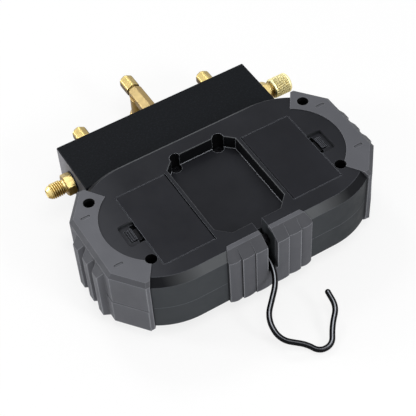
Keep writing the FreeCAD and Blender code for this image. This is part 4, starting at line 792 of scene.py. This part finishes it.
# Place of each bay's middle along X, and how far its two cells lie from it
BAY_X = 47.8 * MM
CELL_OFFSET = 7.4 * MM
SPRING_TURNS = 3.6
SPRING_STEPS = 150
PLATE_HALF = 5.9 * MM


def spring(base, sign):
    """Conical spring and its plate. The sign is the way that it points along Y."""
    points = []
    for i in range(SPRING_STEPS + 1):
        along = i / SPRING_STEPS
        angle = 2 * math.pi * SPRING_TURNS * along
        reach = (4.3 - 1.4 * along) * MM
        rise = (0.9 + 3.0 * along) * MM
        points.append(base + Vector((reach * math.cos(angle), rise * sign,
                                     reach * math.sin(angle))))
    first = base + Vector((-PLATE_HALF, 0.02 * MM * sign, -PLATE_HALF))
    second = base + Vector((PLATE_HALF, 0.5 * MM * sign, PLATE_HALF))
    low = Vector([min(pair) for pair in zip(first, second)])
    high = Vector([max(pair) for pair in zip(first, second)])
    return [tube(points, 0.3 * MM), slab(low, high, 0.15 * MM)]


def springs():
    low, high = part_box("battery_springs")
    middle_z = (low.z + high.z) / 2
    parts = []
    for side in (-1, 1):
        for offset, start, sign in ((-CELL_OFFSET, low.y, 1), (CELL_OFFSET, high.y, -1)):
            parts += spring(Vector(((BAY_X + offset) * side, start, middle_z)), sign)
    piece("wound_springs", join(parts), "case", steel, 50, ("battery_springs",))


springs()


# Floor, light and camera
FLOOR_HALF = 3.0
FLOOR_GLOW = 0.78
AIM = Vector((0, 0, 0.03))
WHITE = (1, 1, 1, 1)


def stage():
    """White floor that keeps the object's shadow. The camera sees it partly as plain white."""
    mesh = bpy.data.meshes.new("floor")
    corners = [(x * FLOOR_HALF, y * FLOOR_HALF, 0) for x, y in ((-1, -1), (1, -1), (1, 1), (-1, 1))]
    mesh.from_pydata(corners, [], [(0, 1, 2, 3)])
    floor = bpy.data.objects.new("floor", mesh)
    floor.location.z = -0.2 * MM
    bpy.context.scene.collection.objects.link(floor)
    graph = Graph("floor_white", 0.7)
    graph.colour(graph.mix(graph.noise(3 * MM, 2), (0.86, 0.86, 0.86, 1), (0.9, 0.9, 0.9, 1)))
    graph.specular(0.1)
    white = graph.add("ShaderNodeEmission")
    white.inputs["Color"].default_value = WHITE
    seen = graph.add("ShaderNodeLightPath").outputs["Is Camera Ray"]
    blend = graph.add("ShaderNodeMixShader")
    sources = (graph.math("MULTIPLY", seen, FLOOR_GLOW), graph.shader.outputs[0], white.outputs[0])
    for source, socket in zip(sources, blend.inputs):
        graph.link(source, socket)
    output = [node for node in graph.tree.nodes if node.type == "OUTPUT_MATERIAL"][0]
    graph.link(blend.outputs[0], output.inputs["Surface"])
    mesh.materials.append(graph.material)


def surroundings():
    """Even studio light, a little weaker overhead. The background seen directly and in
    reflections and glass is white."""
    world = bpy.data.worlds.new("studio")
    world.use_nodes = True
    tree = world.node_tree
    background = tree.nodes["Background"]
    background.inputs["Color"].default_value = WHITE
    path = tree.nodes.new("ShaderNodeLightPath").outputs
    seen = math_node(tree, "MAXIMUM", path["Is Camera Ray"], path["Is Glossy Ray"])
    seen = math_node(tree, "MAXIMUM", seen, path["Is Transmission Ray"])
    split = tree.nodes.new("ShaderNodeSeparateXYZ")
    coords = tree.nodes.new("ShaderNodeTexCoord")
    tree.links.new(coords.outputs["Generated"], split.inputs["Vector"])
    light = range_node(tree, split.outputs["Z"], 0.1, 0.9, 0.56, 0.42)
    unseen = math_node(tree, "SUBTRACT", 1.0, seen)
    level = math_node(tree, "ADD", seen, math_node(tree, "MULTIPLY", unseen, light))
    tree.links.new(level, background.inputs["Strength"])
    bpy.context.scene.world = world


def lamp(name, spot, size, watts):
    """Round lamp that looks at the object."""
    data = bpy.data.lights.new(name, "AREA")
    data.shape = "DISK"
    data.size = size
    data.energy = watts
    made = bpy.data.objects.new(name, data)
    made.location = spot
    made.rotation_euler = (AIM - Vector(spot)).to_track_quat("-Z", "Y").to_euler()
    bpy.context.scene.collection.objects.link(made)


def photo_camera():
    """Camera that sees the object as the photograph shows it."""
    data = bpy.data.cameras.new("camera")
    data.sensor_width = 36
    data.lens = 103.09
    data.clip_end = 20
    camera = bpy.data.objects.new("camera", data)
    right = Vector((0.854928, -0.516788, -0.045038)).normalized()
    up = Vector((0.422619, 0.643526, 0.638175)).normalized()
    turn = Matrix((right, up, right.cross(up).normalized())).transposed().to_4x4()
    camera.matrix_world = Matrix.Translation((-0.248252, -0.456021, 0.639344)) @ turn
    bpy.context.scene.collection.objects.link(camera)
    bpy.context.scene.camera = camera


stage()
surroundings()
lamp("top_light", (0, -0.42, 1.45), 0.9, 7)
lamp("back_light", (0, 0.9, 1.2), 0.35, 4)
lamp("front_light", (0.45, -1.2, 0.82), 0.4, 7)
lamp("side_light", (-1.3, 0.9, 0.6), 0.4, 10)
photo_camera()
bpy.context.scene.view_settings.view_transform = "Standard"
